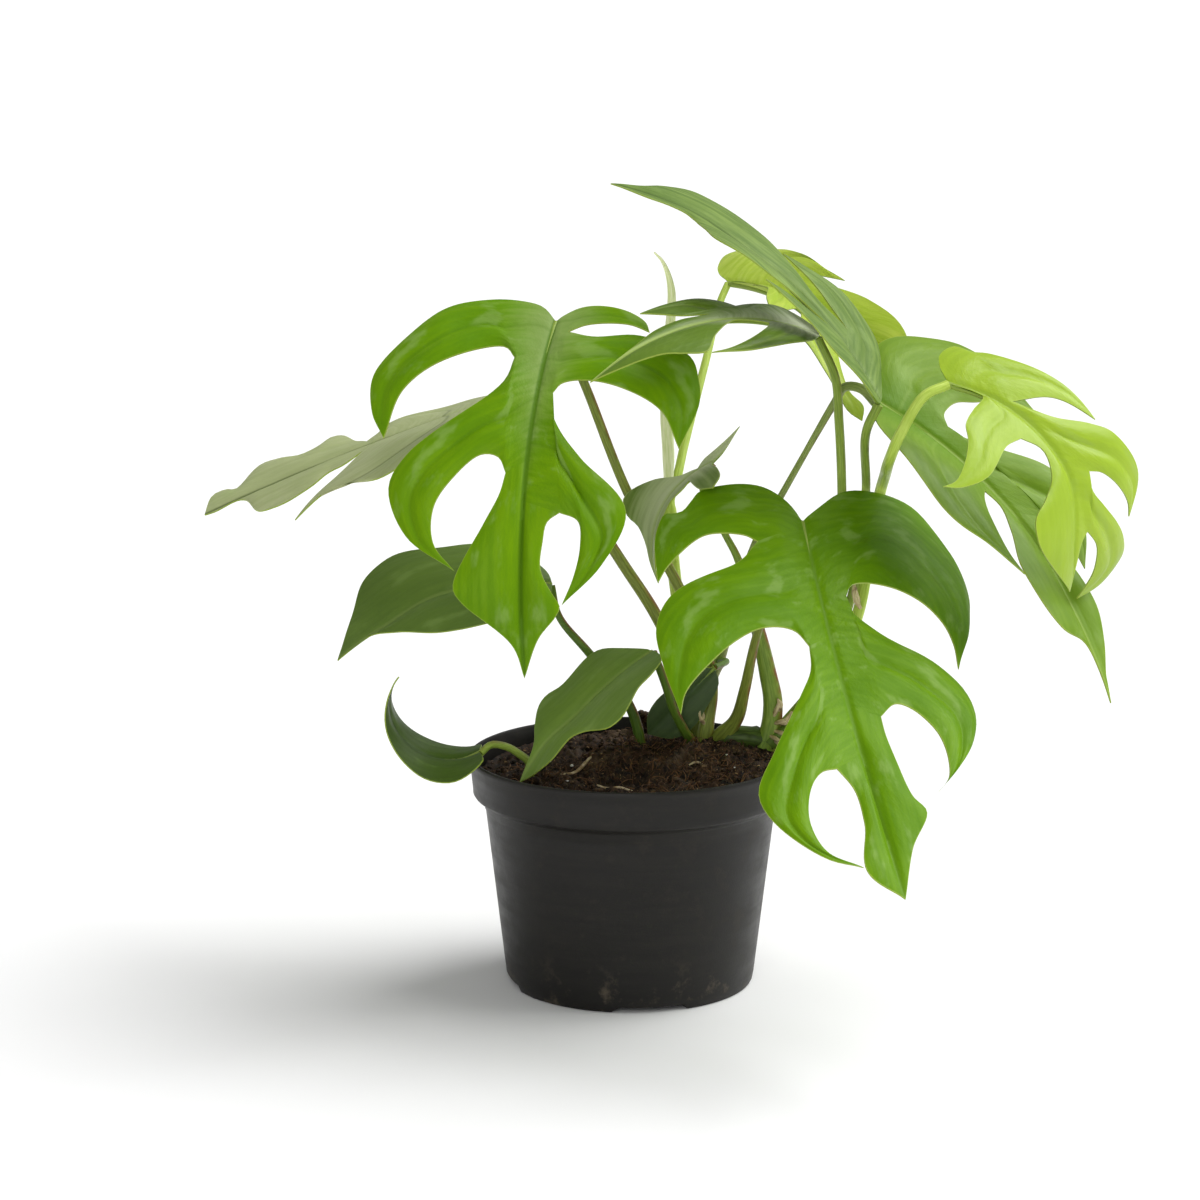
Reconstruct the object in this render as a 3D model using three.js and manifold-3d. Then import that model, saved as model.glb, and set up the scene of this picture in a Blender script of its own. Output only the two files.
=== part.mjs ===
// Mini monstera in its nursery pot: a black pot, a mound of peat, the vine with its leaf stalks, the blades and
// one rolled new leaf. Millimetres, +Z up, the origin at the centre of the pot's flat bottom, the front facing -Y.
import * as THREE from 'three';
import { mergeGeometries, mergeVertices } from 'three/addons/utils/BufferGeometryUtils.js';
import Module from 'manifold-3d';

const wasm = await Module();
wasm.setup();

// Driving dimensions
const POT = {
  height: 86,          // table to the top of the lip
  lipRadius: 60,       // outside of the lip at the top
  bandRadius: 58.4,    // outside of the lip band at its lower edge
  bandHeight: 14,      // height of the lip band
  neckRadius: 54,      // outside of the body just under the band
  footRadius: 46,      // outside of the body at the table
  wall: 1.3,
  floor: 2.4,
  sides: 64,
  channels: 4,         // drain channels pressed up into the bottom edge
  channelDepth: 1.7,
  channelWidth: 28,
  channelTurn: 10,     // degrees from +X to the first channel
  drainHole: 8,
};
const SOIL = {
  level: 81,           // height of the peat at the middle of the pot, without the mound
  slope: 0.05,         // rise per millimetre towards +X
  moundRise: 6.5,
  moundX: 30,
  moundY: 12,
  moundSpread: 32,
  rings: 9,
  sides: 48,
};
const BLADE_THICKNESS = 0.8;
const SEAT_GAP = 0.3;                 // space left between two pieces that touch
const STEM_SIDES = 8;
const STEM_STEP = 15;                 // longest facet along a stem
const LOBE_STEPS = 7;                 // facets along a lobe, past the sinus
const WEB_STEPS = 2;                  // facets from the midrib out to a sinus
const RIB_STEP = 13;                  // longest facet along the midrib between lobes
const END_STEP = 9;                   // longest facet along the midrib in the end lobe

const COLOUR = {
  pot: 0x33322f,
  soil: 0x3a2a1c,
  stem: 0x5d7a2e,
  leaf: 0x4f8a1c,
  darkLeaf: 0x3a6330,
  paleLeaf: 0x7d9c62,
  limeLeaf: 0xa6c83a,
  greyLeaf: 0x6f8a63,
  newLeaf: 0xb9cf9a,
};

const radians = THREE.MathUtils.degToRad;

// Closed meshes to solids and back

function weld(geometry) {
  const bare = geometry.clone();
  bare.deleteAttribute('normal');
  bare.deleteAttribute('uv');
  return mergeVertices(bare, 1e-4);
}

function toSolid(geometry) {
  const welded = weld(geometry);
  return new wasm.Manifold(new wasm.Mesh({
    numProp: 3,
    vertProperties: new Float32Array(welded.attributes.position.array),
    triVerts: new Uint32Array(welded.index.array),
  }));
}

function toGeometry(solid) {
  const mesh = solid.getMesh();
  const geometry = new THREE.BufferGeometry();
  const positions = new Float32Array(mesh.numVert * 3);
  for (let i = 0; i < mesh.numVert; i += 1) {
    for (let k = 0; k < 3; k += 1) positions[3 * i + k] = mesh.vertProperties[mesh.numProp * i + k];
  }
  geometry.setAttribute('position', new THREE.BufferAttribute(positions, 3));
  geometry.setIndex([...mesh.triVerts]);
  return geometry;
}

function unite(geometries) {
  return toGeometry(geometries.map(toSolid).reduce((whole, next) => whole.add(next)));
}

function cutAway(geometry, cutters) {
  return toGeometry(cutters.map(toSolid).reduce((rest, cutter) => rest.subtract(cutter), toSolid(geometry)));
}

// Pot

// The inner wall from the floor up, as [radius, height]
function potInside() {
  const { height, bandRadius, bandHeight, neckRadius, footRadius, wall, floor } = POT;
  const bandFoot = height - bandHeight;
  return [
    [footRadius - wall, floor],
    [neckRadius - wall + 0.6, bandFoot - 3.6],
    [bandRadius - wall, bandFoot + 0.6],
  ];
}

function potProfile() {
  const { height, lipRadius, bandRadius, bandHeight, neckRadius, footRadius, wall, floor } = POT;
  const bandFoot = height - bandHeight;
  const outside = [
    [0, 0], [footRadius - 0.8, 0], [footRadius, 0.9], [neckRadius, bandFoot - 4],
    [neckRadius + 1.6, bandFoot - 2.2], [bandRadius, bandFoot],
    [lipRadius - 0.2, height - 1.2], [lipRadius - 0.6, height - 0.3], [lipRadius - 1.2, height],
  ];
  const inside = [[lipRadius - wall - 0.6, height - 0.4], ...potInside().reverse(), [0, floor]];
  return [...outside, ...inside].map(([r, z]) => new THREE.Vector2(r, z));
}

function lathe(profile, sides) {
  const geometry = new THREE.LatheGeometry(profile, sides);
  geometry.rotateX(Math.PI / 2);
  return geometry;
}

function potGeometry() {
  const cutters = [];
  for (let i = 0; i < POT.channels; i += 1) {
    const turn = radians(POT.channelTurn + (360 / POT.channels) * i);
    const channel = new THREE.BoxGeometry(POT.footRadius, POT.channelWidth, 2 * POT.channelDepth);
    channel.translate(POT.footRadius * 1.15, 0, 0);
    channel.rotateZ(turn);
    cutters.push(channel);
    const hole = new THREE.CylinderGeometry(POT.drainHole / 2, POT.drainHole / 2, 4 * POT.floor, 16);
    hole.rotateX(Math.PI / 2);
    hole.translate(POT.footRadius * 0.8, 0, 0);
    hole.rotateZ(turn);
    cutters.push(hole);
  }
  return cutAway(lathe(potProfile(), POT.sides), cutters);
}

// Peat, heaped round the stems and lowest along the pot's left wall

function peatHeight(x, y) {
  const reach = Math.hypot(x - SOIL.moundX, y - SOIL.moundY) / SOIL.moundSpread;
  const edge = (Math.hypot(x, y) / (POT.bandRadius - POT.wall)) ** 4;
  const mound = SOIL.moundRise * Math.exp(-reach * reach) * (1 - edge);
  const lumps = 0.9 * Math.sin(0.31 * x + 1.3) * Math.cos(0.27 * y + 0.4)
    + 0.6 * Math.sin(0.55 * x - 0.42 * y + 2.1) + 0.4 * Math.cos(0.9 * x + 0.8 * y);
  return SOIL.level + SOIL.slope * x + mound + lumps * (1 - 0.5 * edge);
}

function soilGeometry(stemHoles) {
  const space = 2 * SEAT_GAP;
  const side = potInside().map(([r, z]) => [r - space, z]);
  side[0][1] += SEAT_GAP;
  const topRadius = side[2][0];
  const profile = [[0, side[0][1]], ...side];
  for (let i = 0; i <= SOIL.rings; i += 1) profile.push([topRadius * (1 - i / SOIL.rings), SOIL.level]);
  const geometry = lathe(profile.map(([r, z]) => new THREE.Vector2(r, z)), SOIL.sides);
  const position = geometry.attributes.position;
  for (let i = 0; i < position.count; i += 1) {
    if (position.getZ(i) > SOIL.level - 1) position.setZ(i, peatHeight(position.getX(i), position.getY(i)));
  }
  return cutAway(geometry, stemHoles);
}

// Stems: round-ended tubes that taper along a smooth route. Extra adds to the radius all round.

function tube({ points, radii }, extra = 0, sides = STEM_SIDES) {
  const route = new THREE.CatmullRomCurve3(points.map((p) => new THREE.Vector3(...p)), false, 'centripetal');
  const steps = Math.max(Math.ceil(route.getLength() / STEM_STEP), 3);
  const frames = route.computeFrenetFrames(steps);
  const geometry = new THREE.CapsuleGeometry(1, steps, 2, sides, steps);
  const position = geometry.attributes.position;
  for (let i = 0; i < position.count; i += 1) {
    const height = THREE.MathUtils.clamp(position.getY(i), -steps / 2, steps / 2);
    const cap = height - position.getY(i);
    const along = 0.5 - height / steps;
    const step = Math.round(along * steps);
    const span = along * (radii.length - 1);
    const from = Math.min(Math.floor(span), radii.length - 2);
    const radius = THREE.MathUtils.lerp(radii[from], radii[from + 1], span - from) + extra;
    const place = route.getPointAt(along);
    place.addScaledVector(frames.normals[step], position.getX(i) * radius);
    place.addScaledVector(frames.binormals[step], position.getZ(i) * radius);
    place.addScaledVector(frames.tangents[step], cap * radius);
    position.setXYZ(i, place.x, place.y, place.z);
  }
  return geometry;
}

// A leaf stalk's route, ended just under its blade
function stalkTo(leaf, { points, radii }) {
  const { up, base } = bladeFrame(leaf);
  const reach = BLADE_THICKNESS / 2 + SEAT_GAP + radii[radii.length - 1];
  return { points: [...points, base.clone().addScaledVector(up, -reach).toArray()], radii };
}

// Blades

// The stalk's end of the midrib and the blade's directions there
function bladeFrame(leaf) {
  const heading = radians(leaf.heading);
  const pitch = radians(leaf.pitch);
  const roll = radians(leaf.roll);
  const along = new THREE.Vector3(
    Math.cos(pitch) * Math.cos(heading), Math.cos(pitch) * Math.sin(heading), Math.sin(pitch),
  );
  const level = new THREE.Vector3(Math.sin(heading), -Math.cos(heading), 0);
  const lift = new THREE.Vector3().crossVectors(level, along);
  const across = level.clone().multiplyScalar(Math.cos(roll)).addScaledVector(lift, -Math.sin(roll));
  const up = level.clone().multiplyScalar(Math.sin(roll)).addScaledVector(lift, Math.cos(roll));
  return { along, across, up, base: new THREE.Vector3(...leaf.base) };
}

// The blade's own plane has x out to its right, y along the midrib and the stalk's end at zero. This turns a
// point of that plane into a point of the bent blade.
function bladeSurface(leaf) {
  const { along, across, up, base } = bladeFrame(leaf);
  const droop = radians(leaf.droop) || 1e-6;
  const fold = radians(leaf.fold);
  return (x, y) => {
    const t = y / leaf.length;
    const ribX = t > 0 ? 4 * leaf.bow * t * (1 - t) : 0;
    const side = x - ribX;
    const arch = radians(side > 0 ? leaf.archRight : leaf.archLeft) / 55 || 1e-6;
    const out = Math.abs(side);
    const flatOut = Math.sign(side) * (Math.sin(fold) - Math.sin(fold - arch * out)) / arch;
    const raise = (Math.cos(fold - arch * out) - Math.cos(fold)) / arch;
    const bend = t > 0 ? droop * t : 0;
    const twist = t > 0 ? radians(leaf.twist) * t : 0;
    const turnedOut = flatOut * Math.cos(twist) + raise * Math.sin(twist);
    const turnedUp = raise * Math.cos(twist) - flatOut * Math.sin(twist);
    const forward = t > 0 ? (leaf.length * Math.sin(bend)) / droop : y;
    const sink = t > 0 ? (leaf.length * (1 - Math.cos(bend))) / droop : 0;
    return base.clone()
      .addScaledVector(across, ribX + turnedOut)
      .addScaledVector(along, forward + turnedUp * Math.sin(bend))
      .addScaledVector(up, turnedUp * Math.cos(bend) - sink);
  };
}

function edgeCurve(points, steps) {
  return new THREE.SplineCurve(points.map((p) => new THREE.Vector2(...p))).getSpacedPoints(steps);
}

function straight(from, to, steps) {
  return new THREE.LineCurve(new THREE.Vector2(...from), new THREE.Vector2(...to)).getSpacedPoints(steps);
}

// Where along the midrib the web that ends at a sinus starts
function webRoot(sinus) {
  return Math.max(sinus[1] - 0.45 * sinus[0], 4);
}

// Places along the midrib that both sides of the blade share, so that their facets meet
function ribStations(leaf) {
  const roots = [...leaf.right, ...leaf.left].map((lobe) => webRoot(lobe.sinus)).sort((a, b) => a - b);
  const marks = [0, ...roots, leaf.length];
  const last = Math.max(0, ...roots);
  const stations = [0];
  for (let i = 1; i < marks.length; i += 1) {
    const reach = marks[i] - marks[i - 1];
    if (reach > 0.5) {
      const longest = marks[i] > last ? END_STEP : RIB_STEP;
      const steps = Math.max(Math.ceil(reach / longest), 1);
      for (let k = 1; k <= steps; k += 1) stations.push(marks[i - 1] + (reach * k) / steps);
    }
  }
  return stations;
}

// One half of the blade as flat patches, a ladder of facets for each lobe. Coordinates run out from the midrib.
function halfPatches(leaf, lobes, endEdge, stations, ribX) {
  const patches = [];
  const rib = (y) => new THREE.Vector2(ribX(y), y);
  const webLine = (y, sinus) => straight([ribX(y), y], sinus, WEB_STEPS);
  let start = 0;
  let sinusBefore = [0, 0];
  lobes.forEach((lobe) => {
    const stop = webRoot(lobe.sinus);
    const first = stations.findIndex((y) => y >= start - 0.26);
    const last = stations.findIndex((y) => y >= stop - 0.26);
    const inner = [...lobe.under].reverse();
    const upper = start === 0
      ? edgeCurve([sinusBefore, ...lobe.over, lobe.tip], WEB_STEPS + LOBE_STEPS)
      : [...webLine(stations[first], sinusBefore).slice(0, -1),
        ...edgeCurve([sinusBefore, ...lobe.over, lobe.tip], LOBE_STEPS)];
    const lower = [...webLine(stations[last], lobe.sinus).slice(0, -1),
      ...edgeCurve([lobe.sinus, ...inner, lobe.tip], LOBE_STEPS)];
    const ribPoints = stations.slice(first, last + 1).map(rib);
    patches.push({ upper, lower, ribPoints });
    start = stations[last];
    sinusBefore = lobe.sinus;
  });
  const first = stations.findIndex((y) => y >= start - 0.26);
  const ribPoints = stations.slice(first).map(rib);
  const edge = edgeCurve([sinusBefore, ...endEdge, [ribX(leaf.length), leaf.length]], ribPoints.length - 1);
  patches.push({ endRib: ribPoints, edge });
  return patches;
}

// A patch of facets whose corners are given by place(i, j)
function sheet(columns, rows, place) {
  const geometry = new THREE.PlaneGeometry(1, 1, columns, rows);
  const position = geometry.attributes.position;
  for (let i = 0; i < position.count; i += 1) {
    const column = i % (columns + 1);
    const row = Math.floor(i / (columns + 1));
    const point = place(column, row);
    position.setXYZ(i, point.x, point.y, 0);
  }
  return geometry;
}

function patchSheet(patch) {
  if (patch.endRib) {
    const { endRib, edge } = patch;
    return sheet(WEB_STEPS, endRib.length - 1, (column, row) => (
      endRib[row].clone().lerp(edge[row], column / WEB_STEPS)
    ));
  }
  const { upper, lower, ribPoints } = patch;
  const across = ribPoints.length - 1;
  return sheet(upper.length - 1, across, (column, row) => (
    column === 0 ? ribPoints[row] : upper[column].clone().lerp(lower[column], row / across)
  ));
}

// The flat outline's facets, with the two halves welded along the midrib and facets without area left out
function flatBlade(leaf) {
  const stations = ribStations(leaf);
  const bowAt = (y) => 4 * leaf.bow * (y / leaf.length) * (1 - y / leaf.length);
  const sheets = [];
  for (const [lobes, endEdge, sign] of [[leaf.right, leaf.rightEnd, 1], [leaf.left, leaf.leftEnd, -1]]) {
    for (const patch of halfPatches(leaf, lobes, endEdge, stations, (y) => sign * bowAt(y))) {
      const flat = patchSheet(patch);
      if (sign < 0) {
        flat.scale(-1, 1, 1);
        flat.setIndex([...flat.index.array].reverse());
      }
      sheets.push(flat);
    }
  }
  const whole = weldLoose(mergeGeometries(sheets));
  const corners = whole.index.array;
  const kept = [];
  for (let i = 0; i < corners.length; i += 3) {
    const [a, b, c] = [corners[i], corners[i + 1], corners[i + 2]];
    if (a !== b && b !== c && c !== a) kept.push(a, b, c);
  }
  whole.setIndex(kept);
  return whole;
}

function weldLoose(geometry) {
  geometry.deleteAttribute('normal');
  geometry.deleteAttribute('uv');
  return mergeVertices(geometry, 0.02);
}

// A closed slab of even thickness with the same facets on its top and bottom
function thicken(flat, surface, thickness) {
  const source = flat.attributes.position;
  const count = source.count;
  const corners = flat.index.array;
  const middle = flat.clone();
  for (let i = 0; i < count; i += 1) {
    const point = surface(source.getX(i), source.getY(i));
    middle.attributes.position.setXYZ(i, point.x, point.y, point.z);
  }
  middle.computeVertexNormals();
  const centre = middle.attributes.position;
  const normal = middle.attributes.normal;
  const positions = new Float32Array(count * 6);
  for (let i = 0; i < count; i += 1) {
    for (const [layer, sign] of [[0, 0.5], [count, -0.5]]) {
      positions[3 * (i + layer)] = centre.getX(i) + sign * thickness * normal.getX(i);
      positions[3 * (i + layer) + 1] = centre.getY(i) + sign * thickness * normal.getY(i);
      positions[3 * (i + layer) + 2] = centre.getZ(i) + sign * thickness * normal.getZ(i);
    }
  }
  const index = [...corners];
  const edges = new Map();
  for (let i = 0; i < corners.length; i += 3) {
    const [a, b, c] = [corners[i], corners[i + 1], corners[i + 2]];
    index.push(c + count, b + count, a + count);
    for (const [from, to] of [[a, b], [b, c], [c, a]]) edges.set(`${from}_${to}`, [from, to]);
  }
  for (const [from, to] of edges.values()) {
    if (!edges.has(`${to}_${from}`)) index.push(to, from, from + count, to, from + count, to + count);
  }
  const slab = new THREE.BufferGeometry();
  slab.setAttribute('position', new THREE.BufferAttribute(positions, 3));
  slab.setIndex(index);
  return slab;
}

function bladeGeometry(leaf) {
  return thicken(flatBlade(leaf), bladeSurface(leaf), BLADE_THICKNESS);
}

// The blades. Outlines are in the blade's own plane, out from the midrib and along it, on each side from the
// stalk to the tip: over a lobe to its tip, back under it to the sinus, and past the last sinus to the leaf's tip.
const LEAVES = {
  front_right: {
    colour: COLOUR.leaf,
    base: [61.5, -30, 179], heading: -76, pitch: -30, roll: -9, length: 168,
    droop: 16, fold: 6, archRight: 32, archLeft: 28, bow: 5, twist: 0,
    left: [
      { over: [[19, -17], [30, -21], [53, -22], [67, 10], [63, 32]], tip: [46, 65],
        under: [[48, 52], [45, 42], [28, 32], [10, 34]], sinus: [6, 40] },
      { over: [[6, 47], [15, 57], [44, 74], [47, 84], [42, 99], [32, 113]], tip: [20, 126],
        under: [[27, 117], [27, 100], [20, 91], [13, 89]], sinus: [6, 95] },
    ],
    leftEnd: [[6, 105], [10, 128], [14, 134], [6, 149]],
    right: [
      { over: [[5, -11], [12, -17], [30, -17], [42, -12], [57, 6]], tip: [60, 29],
        under: [[55, 22], [38, 9], [25, 10]], sinus: [21, 14] },
      { over: [[31, 25], [57, 36], [65, 50], [66, 68]], tip: [64, 90],
        under: [[60, 81], [35, 59], [24, 57]], sinus: [14, 68] },
      { over: [[22, 88], [36, 112], [44, 128], [40, 140]], tip: [24, 155],
        under: [[28, 140], [22, 122]], sinus: [15, 119] },
    ],
    rightEnd: [[10, 127], [8, 136], [12, 156]],
  },
  front_left: {
    colour: COLOUR.leaf,
    base: [-27, -12, 248.5], heading: -95, pitch: -37, roll: -4, length: 139,
    droop: 44, fold: 6, archRight: 24, archLeft: 18, bow: 5, twist: 0,
    left: [
      { over: [[10, -7], [24, -6], [32, -1]], tip: [34, 4], under: [[26, 1], [12, 2]], sinus: [5, 6] },
      { over: [[14, 8], [30, 6], [49, 12], [53, 22], [54, 32]], tip: [48, 52],
        under: [[40, 37], [20, 29], [5, 30]], sinus: [2, 34] },
      { over: [[2, 41], [6, 50], [14, 60], [31, 78], [24, 98]], tip: [13, 110],
        under: [[16, 100], [16, 88]], sinus: [8, 81] },
    ],
    leftEnd: [[3, 90], [3, 101], [8, 112], [8, 119], [3, 127]],
    right: [
      { over: [[7, -7], [35, -7], [52, 7], [64, 24], [63, 42]], tip: [57, 54],
        under: [[52, 34], [34, 20], [17, 15]], sinus: [13, 20] },
      { over: [[16, 31], [47, 61], [53, 74], [45, 92]], tip: [30, 104],
        under: [[36, 93], [36, 81], [30, 70], [19, 60]], sinus: [13, 65] },
    ],
    rightEnd: [[16, 79], [27, 109], [24, 114], [5, 128]],
  },
  top: {
    colour: COLOUR.paleLeaf,
    base: [89.4, -23, 220.3], heading: 154, pitch: 59, roll: 10, length: 133,
    droop: 49, fold: 9, archRight: 17, archLeft: 8, bow: 1, twist: -8,
    left: [
      { over: [[11, 0], [22, 6], [32, 20], [35, 38]], tip: [36, 55], under: [[24, 45]], sinus: [10, 38] },
    ],
    leftEnd: [[15, 50], [22, 66], [7, 88], [0, 108]],
    right: [
      { over: [[12, 9], [25, 16], [35, 25], [39, 42], [27, 58]], tip: [19, 67],
        under: [[17, 48]], sinus: [12, 35] },
    ],
    rightEnd: [[9, 48], [16, 70], [23, 91], [19, 111]],
  },
  back_lime: {
    colour: COLOUR.limeLeaf,
    base: [37.8, 100, 250.9], heading: -48.7, pitch: 2, roll: -8, length: 107,
    droop: 57, fold: 29, archRight: 15, archLeft: 2, bow: 0, twist: 37,
    left: [
      { over: [[6, -8], [14, -17], [24, -21], [30, -13], [29, 0], [22, 27]], tip: [18, 48],
        under: [[17, 40]], sinus: [14, 32] },
    ],
    leftEnd: [[15, 42], [20, 60], [23, 78], [9, 92]],
    right: [
      { over: [[6, 1], [15, 8], [24, 18], [31, 30], [31, 40]], tip: [28, 47],
        under: [[16, 37]], sinus: [7, 29] },
    ],
    rightEnd: [[24, 50], [22, 71], [15, 87], [7, 100]],
  },
  back_right: {
    colour: COLOUR.leaf,
    base: [89.8, 1, 217.7], heading: -34, pitch: -28, roll: 9, length: 140,
    droop: 38, fold: 15, archRight: 10, archLeft: 5, bow: -6.6, twist: 0,
    left: [
      { over: [[21, -19], [33, -18], [48, -4], [51, 16]], tip: [48, 37],
        under: [[40, 26], [31, 18]], sinus: [16, 18] },
      { over: [[13, 25], [22, 42], [33, 57], [35, 67], [29, 83]], tip: [18, 95],
        under: [[19, 85]], sinus: [17, 72] },
    ],
    leftEnd: [[14, 83], [15, 102], [8, 125]],
    right: [
      { over: [[10.5, 3.5], [21, 13], [30, 33], [34, 59], [27, 72]], tip: [18, 87],
        under: [[21, 78], [17, 68], [9, 58]], sinus: [2, 53] },
    ],
    rightEnd: [[0, 61], [3, 71], [18, 89], [16, 103], [4, 117]],
  },
  front_lime: {
    colour: COLOUR.limeLeaf,
    base: [111, -44, 230.7], heading: -36, pitch: -16, roll: 22, length: 102,
    droop: 100, fold: 8, archRight: 22, archLeft: 22, bow: -8, twist: 0,
    left: [
      { over: [[5, -7], [11, -11], [18, -10], [19, -3], [23, 2], [32, 27]], tip: [31, 45],
        under: [[22, 30]], sinus: [11, 23] },
      { over: [[12, 29], [17, 36], [28, 45], [36, 53], [42, 71]], tip: [32, 84],
        under: [[32, 78], [23, 62]], sinus: [17, 58] },
    ],
    leftEnd: [[15, 64], [18, 72], [27, 89], [20, 99], [9, 104]],
    right: [
      { over: [[2, 3], [-2, 13], [8, 17], [18, 21], [31, 28]], tip: [41, 32],
        under: [[26, 37], [10, 33]], sinus: [2, 34] },
    ],
    rightEnd: [[-3, 42], [1, 52], [9, 57], [20, 65], [14, 84]],
  },
  centre: {
    colour: COLOUR.paleLeaf,
    base: [68.5, 2, 241.5], heading: 228, pitch: 19.5, roll: -23, length: 109,
    droop: 52, fold: 3, archRight: 13, archLeft: 19, bow: 0, twist: 4,
    left: [
      { over: [[5, 8], [12, 22], [19, 43]], tip: [16, 68], under: [[13, 60], [8, 45]], sinus: [3, 30] },
    ],
    leftEnd: [[4, 44], [9, 64], [9, 84], [6, 101]],
    right: [
      { over: [[10, -6], [18, -4], [18, 12], [14, 31], [21, 55]], tip: [18, 75],
        under: [[12, 56]], sinus: [6, 40] },
    ],
    rightEnd: [[6, 56], [8, 76], [4, 92]],
  },
  small_centre: {
    colour: COLOUR.greyLeaf,
    base: [29.5, -6, 196.2], heading: -139, pitch: -30, roll: 0, length: 51,
    droop: 56, fold: 22, archRight: 33, archLeft: 35, bow: 8.4, twist: 7,
    left: [],
    leftEnd: [[-2, 8], [-2.5, 17], [-1, 27], [0.5, 40]],
    right: [
      { over: [[1, -9]], tip: [3, -20], under: [[5.5, -9]], sinus: [6, 3] },
    ],
    rightEnd: [[14, 12], [20, 17], [25, 24], [17, 31], [9, 37], [4, 45]],
  },
  left_dark: {
    colour: COLOUR.darkLeaf,
    base: [-29, 12, 148], heading: 204, pitch: 1, roll: -25, length: 86,
    droop: 35, fold: 4, archRight: 10, archLeft: 10, bow: 6, twist: 0,
    left: [],
    leftEnd: [[11, 6], [17, 19], [17, 40], [10, 57], [2, 72]],
    right: [],
    rightEnd: [[7, 0], [19, 6], [30, 20], [37, 46], [34, 56], [24, 68]],
  },
  rim_front: {
    colour: COLOUR.darkLeaf,
    base: [8, -8, 127], heading: -148, pitch: -25, roll: -3, length: 70,
    droop: 30, fold: 8, archRight: 0, archLeft: 10, bow: 1, twist: 0,
    left: [],
    leftEnd: [[11, 5], [17, 18], [24, 34], [12, 44], [7, 55], [3, 63]],
    right: [],
    rightEnd: [[8, 2], [18, 12], [20, 40], [18, 44], [7, 56]],
  },
  rim_left: {
    colour: COLOUR.leaf,
    base: [-55.3, -20, 91.6], heading: 168, pitch: -32, roll: -17, length: 60,
    droop: -158, fold: -6, archRight: 20, archLeft: 22, bow: 1, twist: -7,
    left: [],
    leftEnd: [[6, -3], [12, 4], [14, 14], [13, 25], [10, 37], [9, 49]],
    right: [],
    rightEnd: [[6, 0], [9, 7], [13, 17], [9, 32], [4, 46]],
  },
  far_left: {
    colour: COLOUR.paleLeaf,
    base: [-41, 15, 219], heading: 175, pitch: -18, roll: 4, length: 128,
    droop: 8, fold: 2, archRight: 14, archLeft: 14, bow: 0, twist: -27,
    left: [
      { over: [[12, -4], [30, 4], [44, 26], [46, 50], [35, 66], [32, 73]], tip: [41, 88],
        under: [[30, 79], [21, 70]], sinus: [8, 61] },
    ],
    leftEnd: [[9, 71], [11, 80], [22, 91], [20, 103], [4, 114]],
    right: [
      { over: [[14, -4], [26, 6], [28, 24], [27, 42]], tip: [18, 56], under: [[11, 57]], sinus: [4, 61] },
    ],
    rightEnd: [[12, 68], [28, 78], [18, 87], [21, 101], [10, 113], [10, 121]],
  },
  low_small: {
    colour: COLOUR.darkLeaf,
    base: [31.4, 9, 116.4], heading: 182, pitch: -46, roll: -88, length: 34,
    droop: 10, fold: 4, archRight: 10, archLeft: 10, bow: 0, twist: 0,
    left: [],
    leftEnd: [[6, 4], [9, 14], [7, 25]],
    right: [],
    rightEnd: [[4, 4], [5, 14], [4, 25]],
  },
};

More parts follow.
